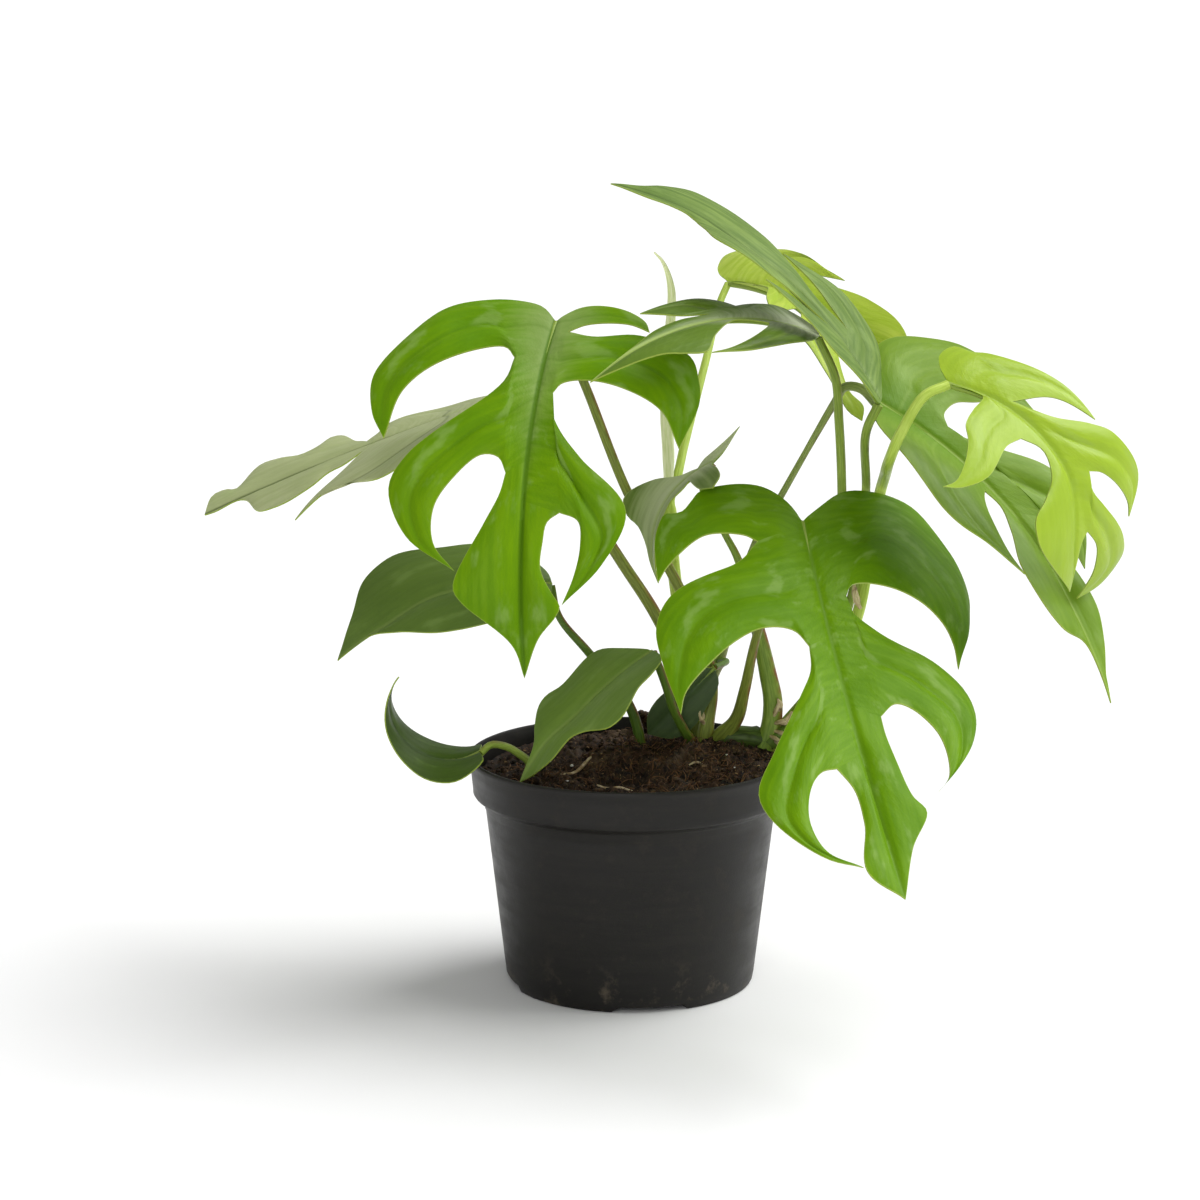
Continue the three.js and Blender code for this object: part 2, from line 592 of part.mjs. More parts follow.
// The creeping vine, half sunk in the peat, and what grows on it. Routes run from the root end up.
const RHIZOME = {
  points: [[25, 15, 85], [33, 13, 88], [42, 11, 89.3], [51.5, 9, 88.5]],
  radii: [3.4, 4.4, 4.6, 4.2],
};
const VINE_STALKS = {
  front_right: {
    points: [[33, 12, 88], [39.4, 8, 97], [42.2, 0, 110.1], [46.6, -12, 135.2], [54.8, -22, 159.4]],
    radii: [3, 2.2, 1.7, 1.6, 1.9],
  },
  front_left: {
    points: [[27, 12, 74], [27.9, 12, 90], [30.5, 13, 107], [26.6, 14, 126], [18, 13, 146],
      [-1.4, 6, 183.5], [-17.4, -5, 226]],
    radii: [2.6, 2.2, 2, 1.8, 1.7, 1.6],
  },
  far_left: {
    points: [[25, 18, 74], [25, 18, 88.6], [20.8, 19, 109.6], [9.5, 19, 134.4], [-3.8, 18, 155.5],
      [-26.2, 18, 191]],
    radii: [2.5, 2.4, 2.3, 2.1, 1.8, 1.6],
  },
  back_right: {
    points: [[24, 23, 74], [28, 32, 88], [31.8, 36, 98], [34.7, 35, 115.7], [38.6, 31, 134],
      [47.2, 24, 162.4], [56.1, 20, 180], [74.9, 13, 215.6], [78.3, 9, 221.7], [84.2, 5, 221.5]],
    radii: [3.2, 3.2, 3, 1.9, 1.5, 1.3, 1.2, 1.1, 1.1],
  },
  back_lime: {
    points: [[23, 22, 72], [22.5, 22, 85.7], [20.1, 23, 120], [15.9, 27, 153], [14.3, 28, 175.7],
      [17.3, 35, 183.7], [20.1, 45, 194.3], [29.2, 76, 224.5], [34.5, 94, 243]],
    radii: [2.6, 2.5, 2.4, 2.5, 1.7, 1.6, 1.5, 1.4],
  },
  top: {
    points: [[52, 9.5, 88], [58, 11.5, 93], [63.4, 12, 97.8], [71.4, 12, 111], [77.1, 11, 126.7],
      [84.6, 7, 157.7], [86, 2, 184], [84.4, -21, 210.4]],
    radii: [2.4, 2, 1.6, 1.4, 1.3, 1.3, 1.3],
  },
  centre: {
    points: [[52, 12, 88], [60, 12.5, 97], [67.7, 12, 107.4], [74.2, 12, 122.7], [77.6, 10, 142],
      [77.6, 8, 183], [76, 6, 210.3], [74.3, 4, 226]],
    radii: [2.4, 2, 1.7, 1.5, 1.4, 1.4, 1.3],
  },
  front_lime: {
    points: [[52, 7, 88], [60, 6, 95], [67.4, 4, 104.5], [76.6, 2, 121], [83.8, 2, 138.8], [88.5, 6, 165.1],
      [91.7, 9, 182.5], [92.6, 0, 190], [91.9, -38, 203.5], [94.5, -46, 212.6], [102.4, -47, 226]],
    radii: [2.6, 2.2, 2, 1.9, 1.8, 1.7, 1.6],
  },
  small_centre: {
    points: [[51.5, 8.5, 86], [54, 9, 94.7], [54.5, 9, 104.3], [52.6, 9, 114.2], [49.5, 8, 127.3],
      [40.2, 4, 158.2], [35.3, 2, 168.6], [30, -3, 188]],
    radii: [3.6, 3, 2, 1.4, 1.2, 1.1, 1.1],
  },
  rim_front: {
    points: [[25, 12, 76], [22.8, 9, 88], [19.9, 4, 93.9], [15.4, -1, 104.2], [13.1, -4, 112.4]],
    radii: [2, 1.8, 1.6, 1.5],
  },
  low_small: { points: [[34.7, 35, 113.5], [36.5, 22, 116]], radii: [1.3, 1.2] },
};
const LEFT_DARK_STALK = {
  points: [[4.5, 10, 72], [4, 10, 86.3], [-0.5, 10, 102], [-15.1, 10, 121.4], [-26.6, 10, 135.8]],
  radii: [2.2, 2, 1.8, 1.5, 1.2],
};
const RIM_LEFT_STALK = {
  points: [[-35.5, -12.5, 72], [-37.2, -13, 85.4], [-40.8, -14, 89], [-45.2, -15, 91.9], [-51, -17, 93.2]],
  radii: [1.6, 1.5, 1.4, 1.3],
};
const NEW_LEAF = {
  points: [[13.9, 25.2, 178], [13.8, 19, 194.5], [12.9, 15, 212], [13.2, 12, 231.2], [14.5, 9, 257.5],
    [11.5, 8, 267.4], [8.3, 8, 271]],
  radii: [1.4, 2.3, 2.4, 2.2, 2, 1.5, 0.5],
};

// The group

const plant = new THREE.Group();

function addPiece(name, geometry, colour, roughness) {
  const material = new THREE.MeshStandardMaterial({ color: colour, roughness, metalness: 0 });
  const mesh = new THREE.Mesh(geometry, material);
  mesh.name = name;
  plant.add(mesh);
}

const vineStems = [
  RHIZOME,
  ...Object.entries(VINE_STALKS).map(([name, stalk]) => stalkTo(LEAVES[name], stalk)),
];
const leftDarkStalk = stalkTo(LEAVES.left_dark, LEFT_DARK_STALK);
const rimLeftStalk = stalkTo(LEAVES.rim_left, RIM_LEFT_STALK);
const stemHoles = [...vineStems, leftDarkStalk, rimLeftStalk].map((stem) => tube(stem, SEAT_GAP));

addPiece('pot', potGeometry(), COLOUR.pot, 0.55);
addPiece('soil', soilGeometry(stemHoles), COLOUR.soil, 0.95);
addPiece('vine', unite(vineStems.map((stem) => tube(stem))), COLOUR.stem, 0.5);
addPiece('stalk_left_dark', tube(leftDarkStalk), COLOUR.stem, 0.5);
addPiece('stalk_rim_left', tube(rimLeftStalk), COLOUR.stem, 0.5);
addPiece('new_leaf', tube(NEW_LEAF), COLOUR.newLeaf, 0.45);
for (const [name, leaf] of Object.entries(LEAVES)) {
  addPiece(`leaf_${name}`, bladeGeometry(leaf), leaf.colour, 0.45);
}

export default plant;
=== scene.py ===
# %% [markdown]
# A mini monstera in its nursery pot, dressed piece by piece round a fixed frame. The frame is the solid
# model of the plant, in metres, with the pot's axis on Z and the front facing -Y. Every piece made here
# stands for one of its nodes, and each is worked out in millimetres and shrunk to metres when its mesh is
# placed.

# %% Load the frame
import random
from math import atan2, ceil, cos, exp, hypot, pi, radians, sin

import bmesh
import bpy
from mathutils import Matrix, Vector, noise


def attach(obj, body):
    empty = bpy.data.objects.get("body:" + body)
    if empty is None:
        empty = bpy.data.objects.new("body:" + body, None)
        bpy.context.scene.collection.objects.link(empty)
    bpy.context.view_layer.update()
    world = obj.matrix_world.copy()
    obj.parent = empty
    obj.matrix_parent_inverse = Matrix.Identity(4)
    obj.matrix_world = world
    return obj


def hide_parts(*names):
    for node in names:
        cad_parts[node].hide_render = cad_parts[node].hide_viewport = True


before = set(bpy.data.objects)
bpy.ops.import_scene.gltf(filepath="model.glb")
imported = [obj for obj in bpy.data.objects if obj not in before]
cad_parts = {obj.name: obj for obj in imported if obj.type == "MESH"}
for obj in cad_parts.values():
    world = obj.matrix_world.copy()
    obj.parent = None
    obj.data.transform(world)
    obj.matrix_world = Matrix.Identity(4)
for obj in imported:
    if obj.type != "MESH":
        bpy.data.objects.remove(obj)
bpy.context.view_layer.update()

MM = 0.001
print("nodes in the frame:", len(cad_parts))

# %% [markdown]
# The camera stands a little above the leaves and looks down on the pot through a long lens, as for a
# catalogue picture of a plant. It comes first, so that everything after it can be judged through it.

# %% Camera
EYE = Vector((0, -1.25, 0.393))
LOOK_DOWN = radians(11.27)
LOOK_LEFT = 0.009
LENS = 103.98

scene = bpy.context.scene
lens = bpy.data.cameras.new("camera")
lens.lens = LENS
lens.sensor_width = 36
camera = bpy.data.objects.new("camera", lens)
camera.location = EYE
camera.rotation_euler = (pi / 2 - LOOK_DOWN, 0, LOOK_LEFT)
scene.collection.objects.link(camera)
scene.camera = camera
print("camera at", tuple(EYE))

# %% [markdown]
# A smooth curve through a few points draws everything that grows: the outline of a lobe and the line of a
# stalk. Catmull-Rom suits them, because the curve passes through its points, so each can be set where it
# has to be. The spacing of the points sets the speed along the curve, which keeps it from looping at a
# tight turn.

# %% Smooth curves
def smooth_curve(points, count, dense=16):
    """count + 1 evenly spaced points on a smooth curve through points"""
    points = [Vector(p) for p in points]
    padded = [2 * points[0] - points[1], *points, 2 * points[-1] - points[-2]]
    line = []
    for before, start, stop, after in zip(padded, padded[1:], padded[2:], padded[3:]):
        pairs = ((before, start), (start, stop), (stop, after))
        step = [max((b - a).length, 1e-6) ** 0.5 for a, b in pairs]
        lead = (start - before) / step[0] - (stop - before) / (step[0] + step[1]) + (stop - start) / step[1]
        trail = (stop - start) / step[1] - (after - start) / (step[1] + step[2]) + (after - stop) / step[2]
        lead, trail = lead * step[1], trail * step[1]
        for k in range(dense):
            t = k / dense
            line.append(start + lead * t + (3 * (stop - start) - 2 * lead - trail) * t ** 2
                        + (2 * (start - stop) + lead + trail) * t ** 3)
    line.append(points[-1])
    return even(line, count)


def even(line, count):
    """count + 1 evenly spaced points along a line of many points"""
    reach = [0.0]
    for a, b in zip(line, line[1:]):
        reach.append(reach[-1] + (b - a).length)
    spaced, k = [], 0
    for i in range(count + 1):
        wanted = reach[-1] * i / count
        while k < len(line) - 2 and reach[k + 1] < wanted:
            k += 1
        part = (wanted - reach[k]) / max(reach[k + 1] - reach[k], 1e-9)
        spaced.append(line[k].lerp(line[k + 1], min(max(part, 0.0), 1.0)))
    return spaced


def ease(value, start, stop):
    """0 before start, 1 after stop, and a smooth rise between"""
    t = min(max((value - start) / (stop - start), 0.0), 1.0)
    return t * t * (3 - 2 * t)

# %% [markdown]
# Each finish is a small tree of shader nodes, so a few short helpers write them. Colours are given as
# they look on a screen, from 0 to 255, and turned into the linear values that the shader wants.

# %% Material helpers
def linear(level):
    return ((level / 255 + 0.055) / 1.055) ** 2.4 if level > 10 else level / 3295


def colour(red, green, blue):
    return (linear(red), linear(green), linear(blue), 1.0)


def node(tree, kind, inputs=None, **settings):
    made = tree.nodes.new("ShaderNode" + kind)
    for name, value in settings.items():
        setattr(made, name, value)
    for socket, value in (inputs or {}).items():
        if isinstance(value, bpy.types.NodeSocket):
            tree.links.new(value, made.inputs[socket])
        else:
            made.inputs[socket].default_value = value
    return made


def new_material(name):
    material = bpy.data.materials.new(name)
    material.use_nodes = True
    material.node_tree.nodes.clear()
    return material, material.node_tree


def stretch(tree, source, scale):
    """Coordinates, stretched so that a pattern keeps its own scale in each direction"""
    return node(tree, "Mapping", {"Vector": source, "Scale": scale}).outputs["Vector"]


def speckle(tree, vector, scale, detail=3.0, roughness=0.55):
    made = node(tree, "TexNoise", {"Vector": vector, "Scale": scale, "Detail": detail,
                                   "Roughness": roughness})
    return made.outputs["Fac"]


def span(tree, value, low, high, to_low=0.0, to_high=1.0):
    """value from low to high, turned into to_low to to_high"""
    made = node(tree, "MapRange", {"Value": value, "From Min": low, "From Max": high,
                                   "To Min": to_low, "To Max": to_high}, interpolation_type="SMOOTHSTEP")
    return made.outputs["Result"]


def blend(tree, factor, first, second):
    return node(tree, "MixRGB", {"Fac": factor, "Color1": first, "Color2": second}).outputs["Color"]


def maths(tree, kind, first, second=0.0):
    return node(tree, "Math", {0: first, 1: second}, operation=kind).outputs["Value"]


def bump(tree, height, distance, strength=1.0, normal=None):
    inputs = {"Height": height, "Distance": distance, "Strength": strength}
    if normal:
        inputs["Normal"] = normal
    return node(tree, "Bump", inputs).outputs["Normal"]


def output(tree, shader):
    node(tree, "OutputMaterial", {"Surface": shader})

# %% [markdown]
# A finished piece is a mesh with its place in it, its materials, the body it rides on and the node it stands
# for. Its edges stay soft below a set angle and crisp above it.

# %% Finishing a piece
def finish(bm, name, materials, nodes, sharp):
    for face in bm.faces:
        face.smooth = True
    for edge in bm.edges:
        edge.smooth = not (len(edge.link_faces) == 2 and edge.calc_face_angle(0) > radians(sharp))
    bmesh.ops.scale(bm, vec=(MM, MM, MM), verts=bm.verts)
    mesh = bpy.data.meshes.new(name)
    bm.to_mesh(mesh)
    bm.free()
    piece = bpy.data.objects.new(name, mesh)
    scene.collection.objects.link(piece)
    for material in materials:
        mesh.materials.append(material)
    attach(piece, "root")
    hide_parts(*nodes)
    print(name, len(mesh.polygons), "faces")


def append(bm, one):
    """Adds a small bmesh to a large one, because operators are quick only while a bmesh is small"""
    mesh = bpy.data.meshes.new("scrap")
    one.to_mesh(mesh)
    one.free()
    bm.from_mesh(mesh)
    bpy.data.meshes.remove(mesh)


def sheet(bm, columns, rows):
    """A grid of quads over the square from (0, 0) to (1, 1)"""
    made = bmesh.ops.create_grid(bm, x_segments=columns, y_segments=rows, size=1)["verts"]
    for vert in made:
        vert.co = ((vert.co.x + 1) / 2, (vert.co.y + 1) / 2, 0)
    return made

# %% [markdown]
# The pot is thin moulded plastic: a plain taper, a narrow neck, a deep lip band and a rolled top edge. A
# profile of its wall, out, up, over the lip and down inside, is spun round the axis. The four drain
# channels are pressed into the foot, as in the mould, by lifting the bottom edge there.

# %% Pot shape
POT_HEIGHT = 86
LIP_RADIUS = 60
BAND_RADIUS = 58.4
BAND_FOOT = 72
NECK_RADIUS = 54
FOOT_RADIUS = 46
WALL = 1.3
FLOOR = 2.4
CHANNEL_DEPTH = 1.7
CHANNEL_WIDTH = 28
CHANNEL_TURNS = [10, 100, 190, 280]
FOOT_RING = 38                # where the ring that the pot stands on starts
LEDGE = 66.4                  # height of the faint step under the neck
SPIN_STEPS = 168


def on_wall(z):
    """The taper's outside radius at a height"""
    return FOOT_RADIUS + (NECK_RADIUS - FOOT_RADIUS) * z / (BAND_FOOT - 4)


wall_outside = [
    (0, 0.9), (30, 0.9), (FOOT_RING, 0.9), (FOOT_RING + 1.2, 0), (FOOT_RADIUS - 1.6, 0),
    (FOOT_RADIUS - 0.5, 0.3), (FOOT_RADIUS, 1.2), (on_wall(3.5), 3.5), (on_wall(8), 8), (on_wall(20), 20),
    (on_wall(40), 40), (on_wall(LEDGE - 2), LEDGE - 2), (on_wall(LEDGE - 0.3), LEDGE - 0.3),
    (on_wall(LEDGE) + 0.35, LEDGE + 0.3), (NECK_RADIUS + 0.3, BAND_FOOT - 3.4),
    (NECK_RADIUS + 0.9, BAND_FOOT - 2.6), (BAND_RADIUS - 1.6, BAND_FOOT - 1.1),
    (BAND_RADIUS - 0.5, BAND_FOOT - 0.6), (BAND_RADIUS, BAND_FOOT + 0.2),
    (BAND_RADIUS + 0.1, BAND_FOOT + 2), (BAND_RADIUS + 0.7, POT_HEIGHT - 6),
    (LIP_RADIUS - 0.5, POT_HEIGHT - 2.6), (LIP_RADIUS - 0.1, POT_HEIGHT - 1.7),
    (LIP_RADIUS, POT_HEIGHT - 1), (LIP_RADIUS - 0.25, POT_HEIGHT - 0.3), (LIP_RADIUS - 0.9, POT_HEIGHT),
]
wall_inside = [
    (LIP_RADIUS - 1.6, POT_HEIGHT - 0.15), (LIP_RADIUS - 1.9, POT_HEIGHT - 0.8),
    (BAND_RADIUS - WALL + 0.4, POT_HEIGHT - 6), (BAND_RADIUS - WALL, BAND_FOOT + 0.6),
    (NECK_RADIUS - WALL + 0.6, BAND_FOOT - 3.6), (on_wall(40) - WALL, 40), (FOOT_RADIUS - WALL, FLOOR + 1),
    (FOOT_RADIUS - WALL - 1, FLOOR), (0, FLOOR),
]

pot = bmesh.new()
corners = [pot.verts.new((r, 0, z)) for r, z in wall_outside + wall_inside]
profile = corners + [pot.edges.new(pair) for pair in zip(corners, corners[1:])]
bmesh.ops.spin(pot, geom=profile, cent=(0, 0, 0), axis=(0, 0, 1), angle=2 * pi, steps=SPIN_STEPS,
               use_merge=True)
bmesh.ops.remove_doubles(pot, verts=pot.verts, dist=0.01)
bmesh.ops.recalc_face_normals(pot, faces=pot.faces)
for vert in pot.verts:
    if vert.co.z < 4 and vert.co.xy.length > FOOT_RING:
        for turn in CHANNEL_TURNS:
            middle = Vector((cos(radians(turn)), sin(radians(turn))))
            off = abs(vert.co.xy.angle_signed(middle, 0)) * FOOT_RADIUS
            inside = 1 - ease(off, CHANNEL_WIDTH / 2 - 1.5, CHANNEL_WIDTH / 2 + 0.5)
            vert.co.z += CHANNEL_DEPTH * inside * (1 - ease(vert.co.z, 0.5, 3.5))
print("pot points:", len(pot.verts))

# %% [markdown]
# The plastic is charcoal, nearly black, and satin. It has a faint orange peel from the mould, drawn-out
# flow lines round the wall, and a little dust and peat, most of it at the foot, so the colour and the
# roughness both wander.

# %% Pot material
def charcoal_plastic():
    material, tree = new_material("charcoal_plastic")
    place = node(tree, "TexCoord").outputs["Object"]
    flow = speckle(tree, stretch(tree, place, (6, 6, 60)), 3, 5, 0.6)
    dust_and_sheen = speckle(tree, place, 90, 6, 0.7)
    peel = speckle(tree, place, 1400, 2)
    height = node(tree, "SeparateXYZ", {"Vector": place}).outputs["Z"]
    foot = span(tree, height, 0.004, 0.02, 1, 0)
    shade = blend(tree, span(tree, flow, 0.35, 0.7), colour(18, 16, 13), colour(26, 24, 20))
    dusty = maths(tree, "MULTIPLY", span(tree, dust_and_sheen, 0.52, 0.72), maths(tree, "ADD", foot, 0.12))
    skin = blend(tree, dusty, shade, colour(74, 66, 54))
    rough = span(tree, maths(tree, "ADD", flow, dust_and_sheen), 0.7, 1.3, 0.36, 0.52)
    relief = bump(tree, flow, 0.0004, 0.35, bump(tree, peel, 0.00004, 0.6))
    shader = node(tree, "BsdfPrincipled", {"Base Color": skin, "Roughness": rough, "Normal": relief,
                                           "Specular IOR Level": 0.28})
    output(tree, shader.outputs["BSDF"])
    return material


finish(pot, "nursery_pot", [charcoal_plastic()], ["pot"], sharp=35)

# %% [markdown]
# The peat fills the pot to just under the lip and is heaped round the stems. Its surface is what shows,
# so it is a fine round sheet over a plain skirt: the broad heap is a bump of the same height as the
# frame's, and finer and finer noise turns it into clods and crumbs. A small heap and a hollow lie in
# front of the stems.

# %% Peat
SOIL_LEVEL = 81
SOIL_SLOPE = 0.05
MOUND = {"rise": 6.5, "x": 30, "y": 12, "spread": 32}
HEAP = {"rise": 7, "x": -6, "y": -2, "width": 12, "depth": 7}
HOLLOW = {"rise": -9, "x": -1, "y": -22, "width": 12, "depth": 7}
SOIL_RADIUS = 56.4
SKIRT = [(55.9, 74), (51.6, 66.5), (43.6, FLOOR + 0.3)]
SOIL_RINGS = 110
SOIL_STEPS = 300


def peat_height(x, y):
    reach = hypot(x - MOUND["x"], y - MOUND["y"]) / MOUND["spread"]
    edge = min(hypot(x, y) / (BAND_RADIUS - WALL), 1) ** 4
    mound = MOUND["rise"] * exp(-reach * reach) * (1 - edge)
    lumps = 0.9 * sin(0.31 * x + 1.3) * cos(0.27 * y + 0.4) + 0.6 * sin(0.55 * x - 0.42 * y + 2.1)
    return SOIL_LEVEL + SOIL_SLOPE * x + mound + lumps * (1 - 0.5 * edge)


def swelling(form, x, y):
    across = (x - form["x"]) / form["width"]
    back = (y - form["y"]) / form["depth"]
    return form["rise"] * exp(-across ** 2 - back ** 2)


def crumbly(x, y):
    """The height of the peat with its clods and crumbs"""
    clods = noise.fractal(Vector((x, y, 0)) / 6.5, 0.9, 2.1, 3)
    crumbs = noise.fractal(Vector((x, y, 9)) / 1.7, 0.6, 2.2, 3)
    pits = abs(noise.noise(Vector((x, y, 21)) / 3.4))
    calm = 1 - 0.6 * ease(hypot(x, y), 50, 56)
    broad = peat_height(x, y) + swelling(HEAP, x, y) + swelling(HOLLOW, x, y)
    return broad + calm * (2.2 * clods + 1.1 * crumbs + 2.6 * (0.25 - pits))


def grow_ring(bm, edges):
    """Extrudes a loop of edges: the new points, and the new loop"""
    grown = bmesh.ops.extrude_edge_only(bm, edges=edges)["geom"]
    verts = [g for g in grown if isinstance(g, bmesh.types.BMVert)]
    return verts, [g for g in grown if isinstance(g, bmesh.types.BMEdge) and len(g.link_faces) == 1]


peat = bmesh.new()
bmesh.ops.create_circle(peat, cap_ends=False, segments=SOIL_STEPS, radius=SOIL_RADIUS)
edges = list(peat.edges)
for ring in range(1, SOIL_RINGS):
    verts, edges = grow_ring(peat, edges)
    for vert in verts:
        vert.co.xy = vert.co.xy.normalized() * SOIL_RADIUS * (1 - ring / SOIL_RINGS)
bmesh.ops.edgeloop_fill(peat, edges=edges)
for vert in peat.verts:
    vert.co.z = crumbly(vert.co.x, vert.co.y)
edges = [e for e in peat.edges if len(e.link_faces) == 1]
for radius, z in SKIRT:
    verts, edges = grow_ring(peat, edges)
    for vert in verts:
        vert.co = (*(vert.co.xy.normalized() * radius), z)
bmesh.ops.edgeloop_fill(peat, edges=edges)
bmesh.ops.recalc_face_normals(peat, faces=peat.faces)
print("peat points:", len(peat.verts))

# %% [markdown]
# Peat is dark, fibrous and a little moist, so it is never one brown. Fine noise picks between near-black
# and warm brown, some patches dry out paler, the lower the peat lies the darker it is painted, as shade in
# the hollows and down the gap at the pot wall, and pale fibre flecks come from noise drawn out in two
# directions.

# %% Peat material
def peat_material(name, dark, warm, dry):
    material, tree = new_material(name)
    place = node(tree, "TexCoord").outputs["Object"]
    grain = speckle(tree, place, 420, 5, 0.7)
    patches = speckle(tree, place, 70, 3)
    fibre_a = speckle(tree, stretch(tree, place, (220, 1500, 900)), 1, 2)
    fibre_b = speckle(tree, stretch(tree, place, (1500, 260, 900)), 1, 2)
    base = blend(tree, span(tree, grain, 0.36, 0.62), dark, warm)
    base = blend(tree, span(tree, patches, 0.5, 0.75, 0, 0.5), base, dry)
    flecks = maths(tree, "MAXIMUM", span(tree, fibre_a, 0.66, 0.74), span(tree, fibre_b, 0.67, 0.75))
    height = node(tree, "SeparateXYZ", {"Vector": place}).outputs["Z"]
    # Painted shade: the lower the peat lies, the darker it is, in the hollows and down the gap at the pot
    # wall.
    low_shade = span(tree, height, 0.074, 0.084, 0.85, 0)
    skin = blend(tree, low_shade, blend(tree, flecks, base, colour(160, 130, 92)), dark)
    relief = bump(tree, grain, 0.0008, 0.7, bump(tree, flecks, 0.0003, 0.5))
    shader = node(tree, "BsdfPrincipled", {"Base Color": skin, "Normal": relief, "Specular IOR Level": 0.25,
                                           "Roughness": span(tree, patches, 0.3, 0.7, 0.95, 0.7)})
    output(tree, shader.outputs["BSDF"])
    return material


PEAT = peat_material("moist_peat", colour(13, 9, 6), colour(64, 44, 28), colour(112, 90, 64))
finish(peat, "peat", [PEAT], ["soil"], sharp=80)

# %% [markdown]
# Loose crumbs lie on the peat, most of them a millimetre or so and a few the size of a pea. Each starts
# as a 20-faced ball whose corners are pushed in and out, and is then stretched, turned and half sunk. A
# few white ones are perlite, the puffed volcanic glass that growers mix in. A fixed seed keeps them where
# they are.

# %% Crumbs
chance = random.Random(11)


def crumb(bm, place, size):
    heading = Matrix.Rotation(chance.uniform(0, 2 * pi), 3, "Z")
    turn = heading @ Matrix.Rotation(chance.uniform(0, pi), 3, "X")
    squash = [chance.uniform(0.7, 1.3), chance.uniform(0.7, 1.3), chance.uniform(0.5, 0.9)]
    squash = Vector(squash) * size
    one = bmesh.new()
    bmesh.ops.create_icosphere(one, subdivisions=1, radius=1)
    for vert in one.verts:
        vert.co = place + turn @ vert.co * squash * chance.uniform(0.75, 1.25)
    append(bm, one)


def on_peat(x, y, lift=0.0):
    return Vector((x, y, crumbly(x, y) + lift))


def scatter(radius):
    """A place drawn evenly from the round surface within a radius"""
    reach = radius * chance.random() ** 0.5
    turn = chance.uniform(0, 2 * pi)
    return reach * cos(turn), reach * sin(turn)


SMALL_CRUMBS = 1500
LARGE_CRUMBS = 60
CLOD_CRUMBS = 60
CLOD = Vector((4.5, 46.5, 87))          # a dry lump left leaning on the far side
PERLITE = [(-21.7, -4, 0.8), (35.6, -9, 0.5), (-23, -20, 0.5), (6, -44, 0.6), (-30, 8, 0.6),
           (12, 34, 0.7), (38, -24, 0.4), (-2, 30, 0.5), (48, 20, 0.6), (21, -40, 0.5)]

crumbs = bmesh.new()
for _ in range(SMALL_CRUMBS):
    x, y = scatter(54.5)
    size = 0.35 + 1.1 * chance.random() ** 3
    crumb(crumbs, on_peat(x, y, size * 0.2), size)
for _ in range(LARGE_CRUMBS):
    x, y = scatter(46)
    crumb(crumbs, on_peat(x, y), chance.uniform(1.4, 2.4))
for _ in range(CLOD_CRUMBS):
    off = Vector((chance.uniform(-2.4, 2.4), chance.uniform(-2, 2), chance.uniform(-3.5, 3.5)))
    crumb(crumbs, CLOD + off, chance.uniform(1.4, 2.2))
DRY_PEAT = peat_material("peat_crumb", colour(18, 12, 8), colour(74, 52, 33), colour(124, 100, 70))
finish(crumbs, "peat_crumbs", [DRY_PEAT], ["soil"], sharp=180)


def perlite_white():
    material, tree = new_material("perlite_white")
    place = node(tree, "TexCoord").outputs["Object"]
    pores = speckle(tree, place, 1600, 3)
    skin = blend(tree, span(tree, pores, 0.35, 0.6), colour(206, 200, 186), colour(240, 238, 230))
    shader = node(tree, "BsdfPrincipled", {"Base Color": skin, "Roughness": 0.85,
                                           "Normal": bump(tree, pores, 0.0003)})
    output(tree, shader.outputs["BSDF"])
    return material


grains = bmesh.new()
for x, y, size in PERLITE:
    crumb(grains, on_peat(x, y, size * 0.6), size)
finish(grains, "perlite_grains", [perlite_white()], ["soil"], sharp=180)

# %% [markdown]
# A stalk is a tube grown ring by ring: a circle of edges is extruded along a smooth curve, and each new
# ring is set square to the curve at its own radius. Two numbers stay with every point, how far along and
# how far round it is, and become the stalk's own UV map, so that streaks can follow the stalk. Some of
# these stalks have a shallow groove.

# %% Tubes
def rolled_frames(route, facing):
    """A direction across the route at each point, turned as little as possible from one to the next"""
    across, frames = Vector(facing), []
    for i, place in enumerate(route):
        ahead = (route[min(i + 1, len(route) - 1)] - route[max(i - 1, 0)]).normalized()
        across = (across - ahead * across.dot(ahead)).normalized()
        frames.append((place, ahead, across, ahead.cross(across)))
    return frames


def radius_at(radii, part):
    reach = part * (len(radii) - 1)
    k = min(int(reach), len(radii) - 2)
    return radii[k] + (radii[k + 1] - radii[k]) * (reach - k)


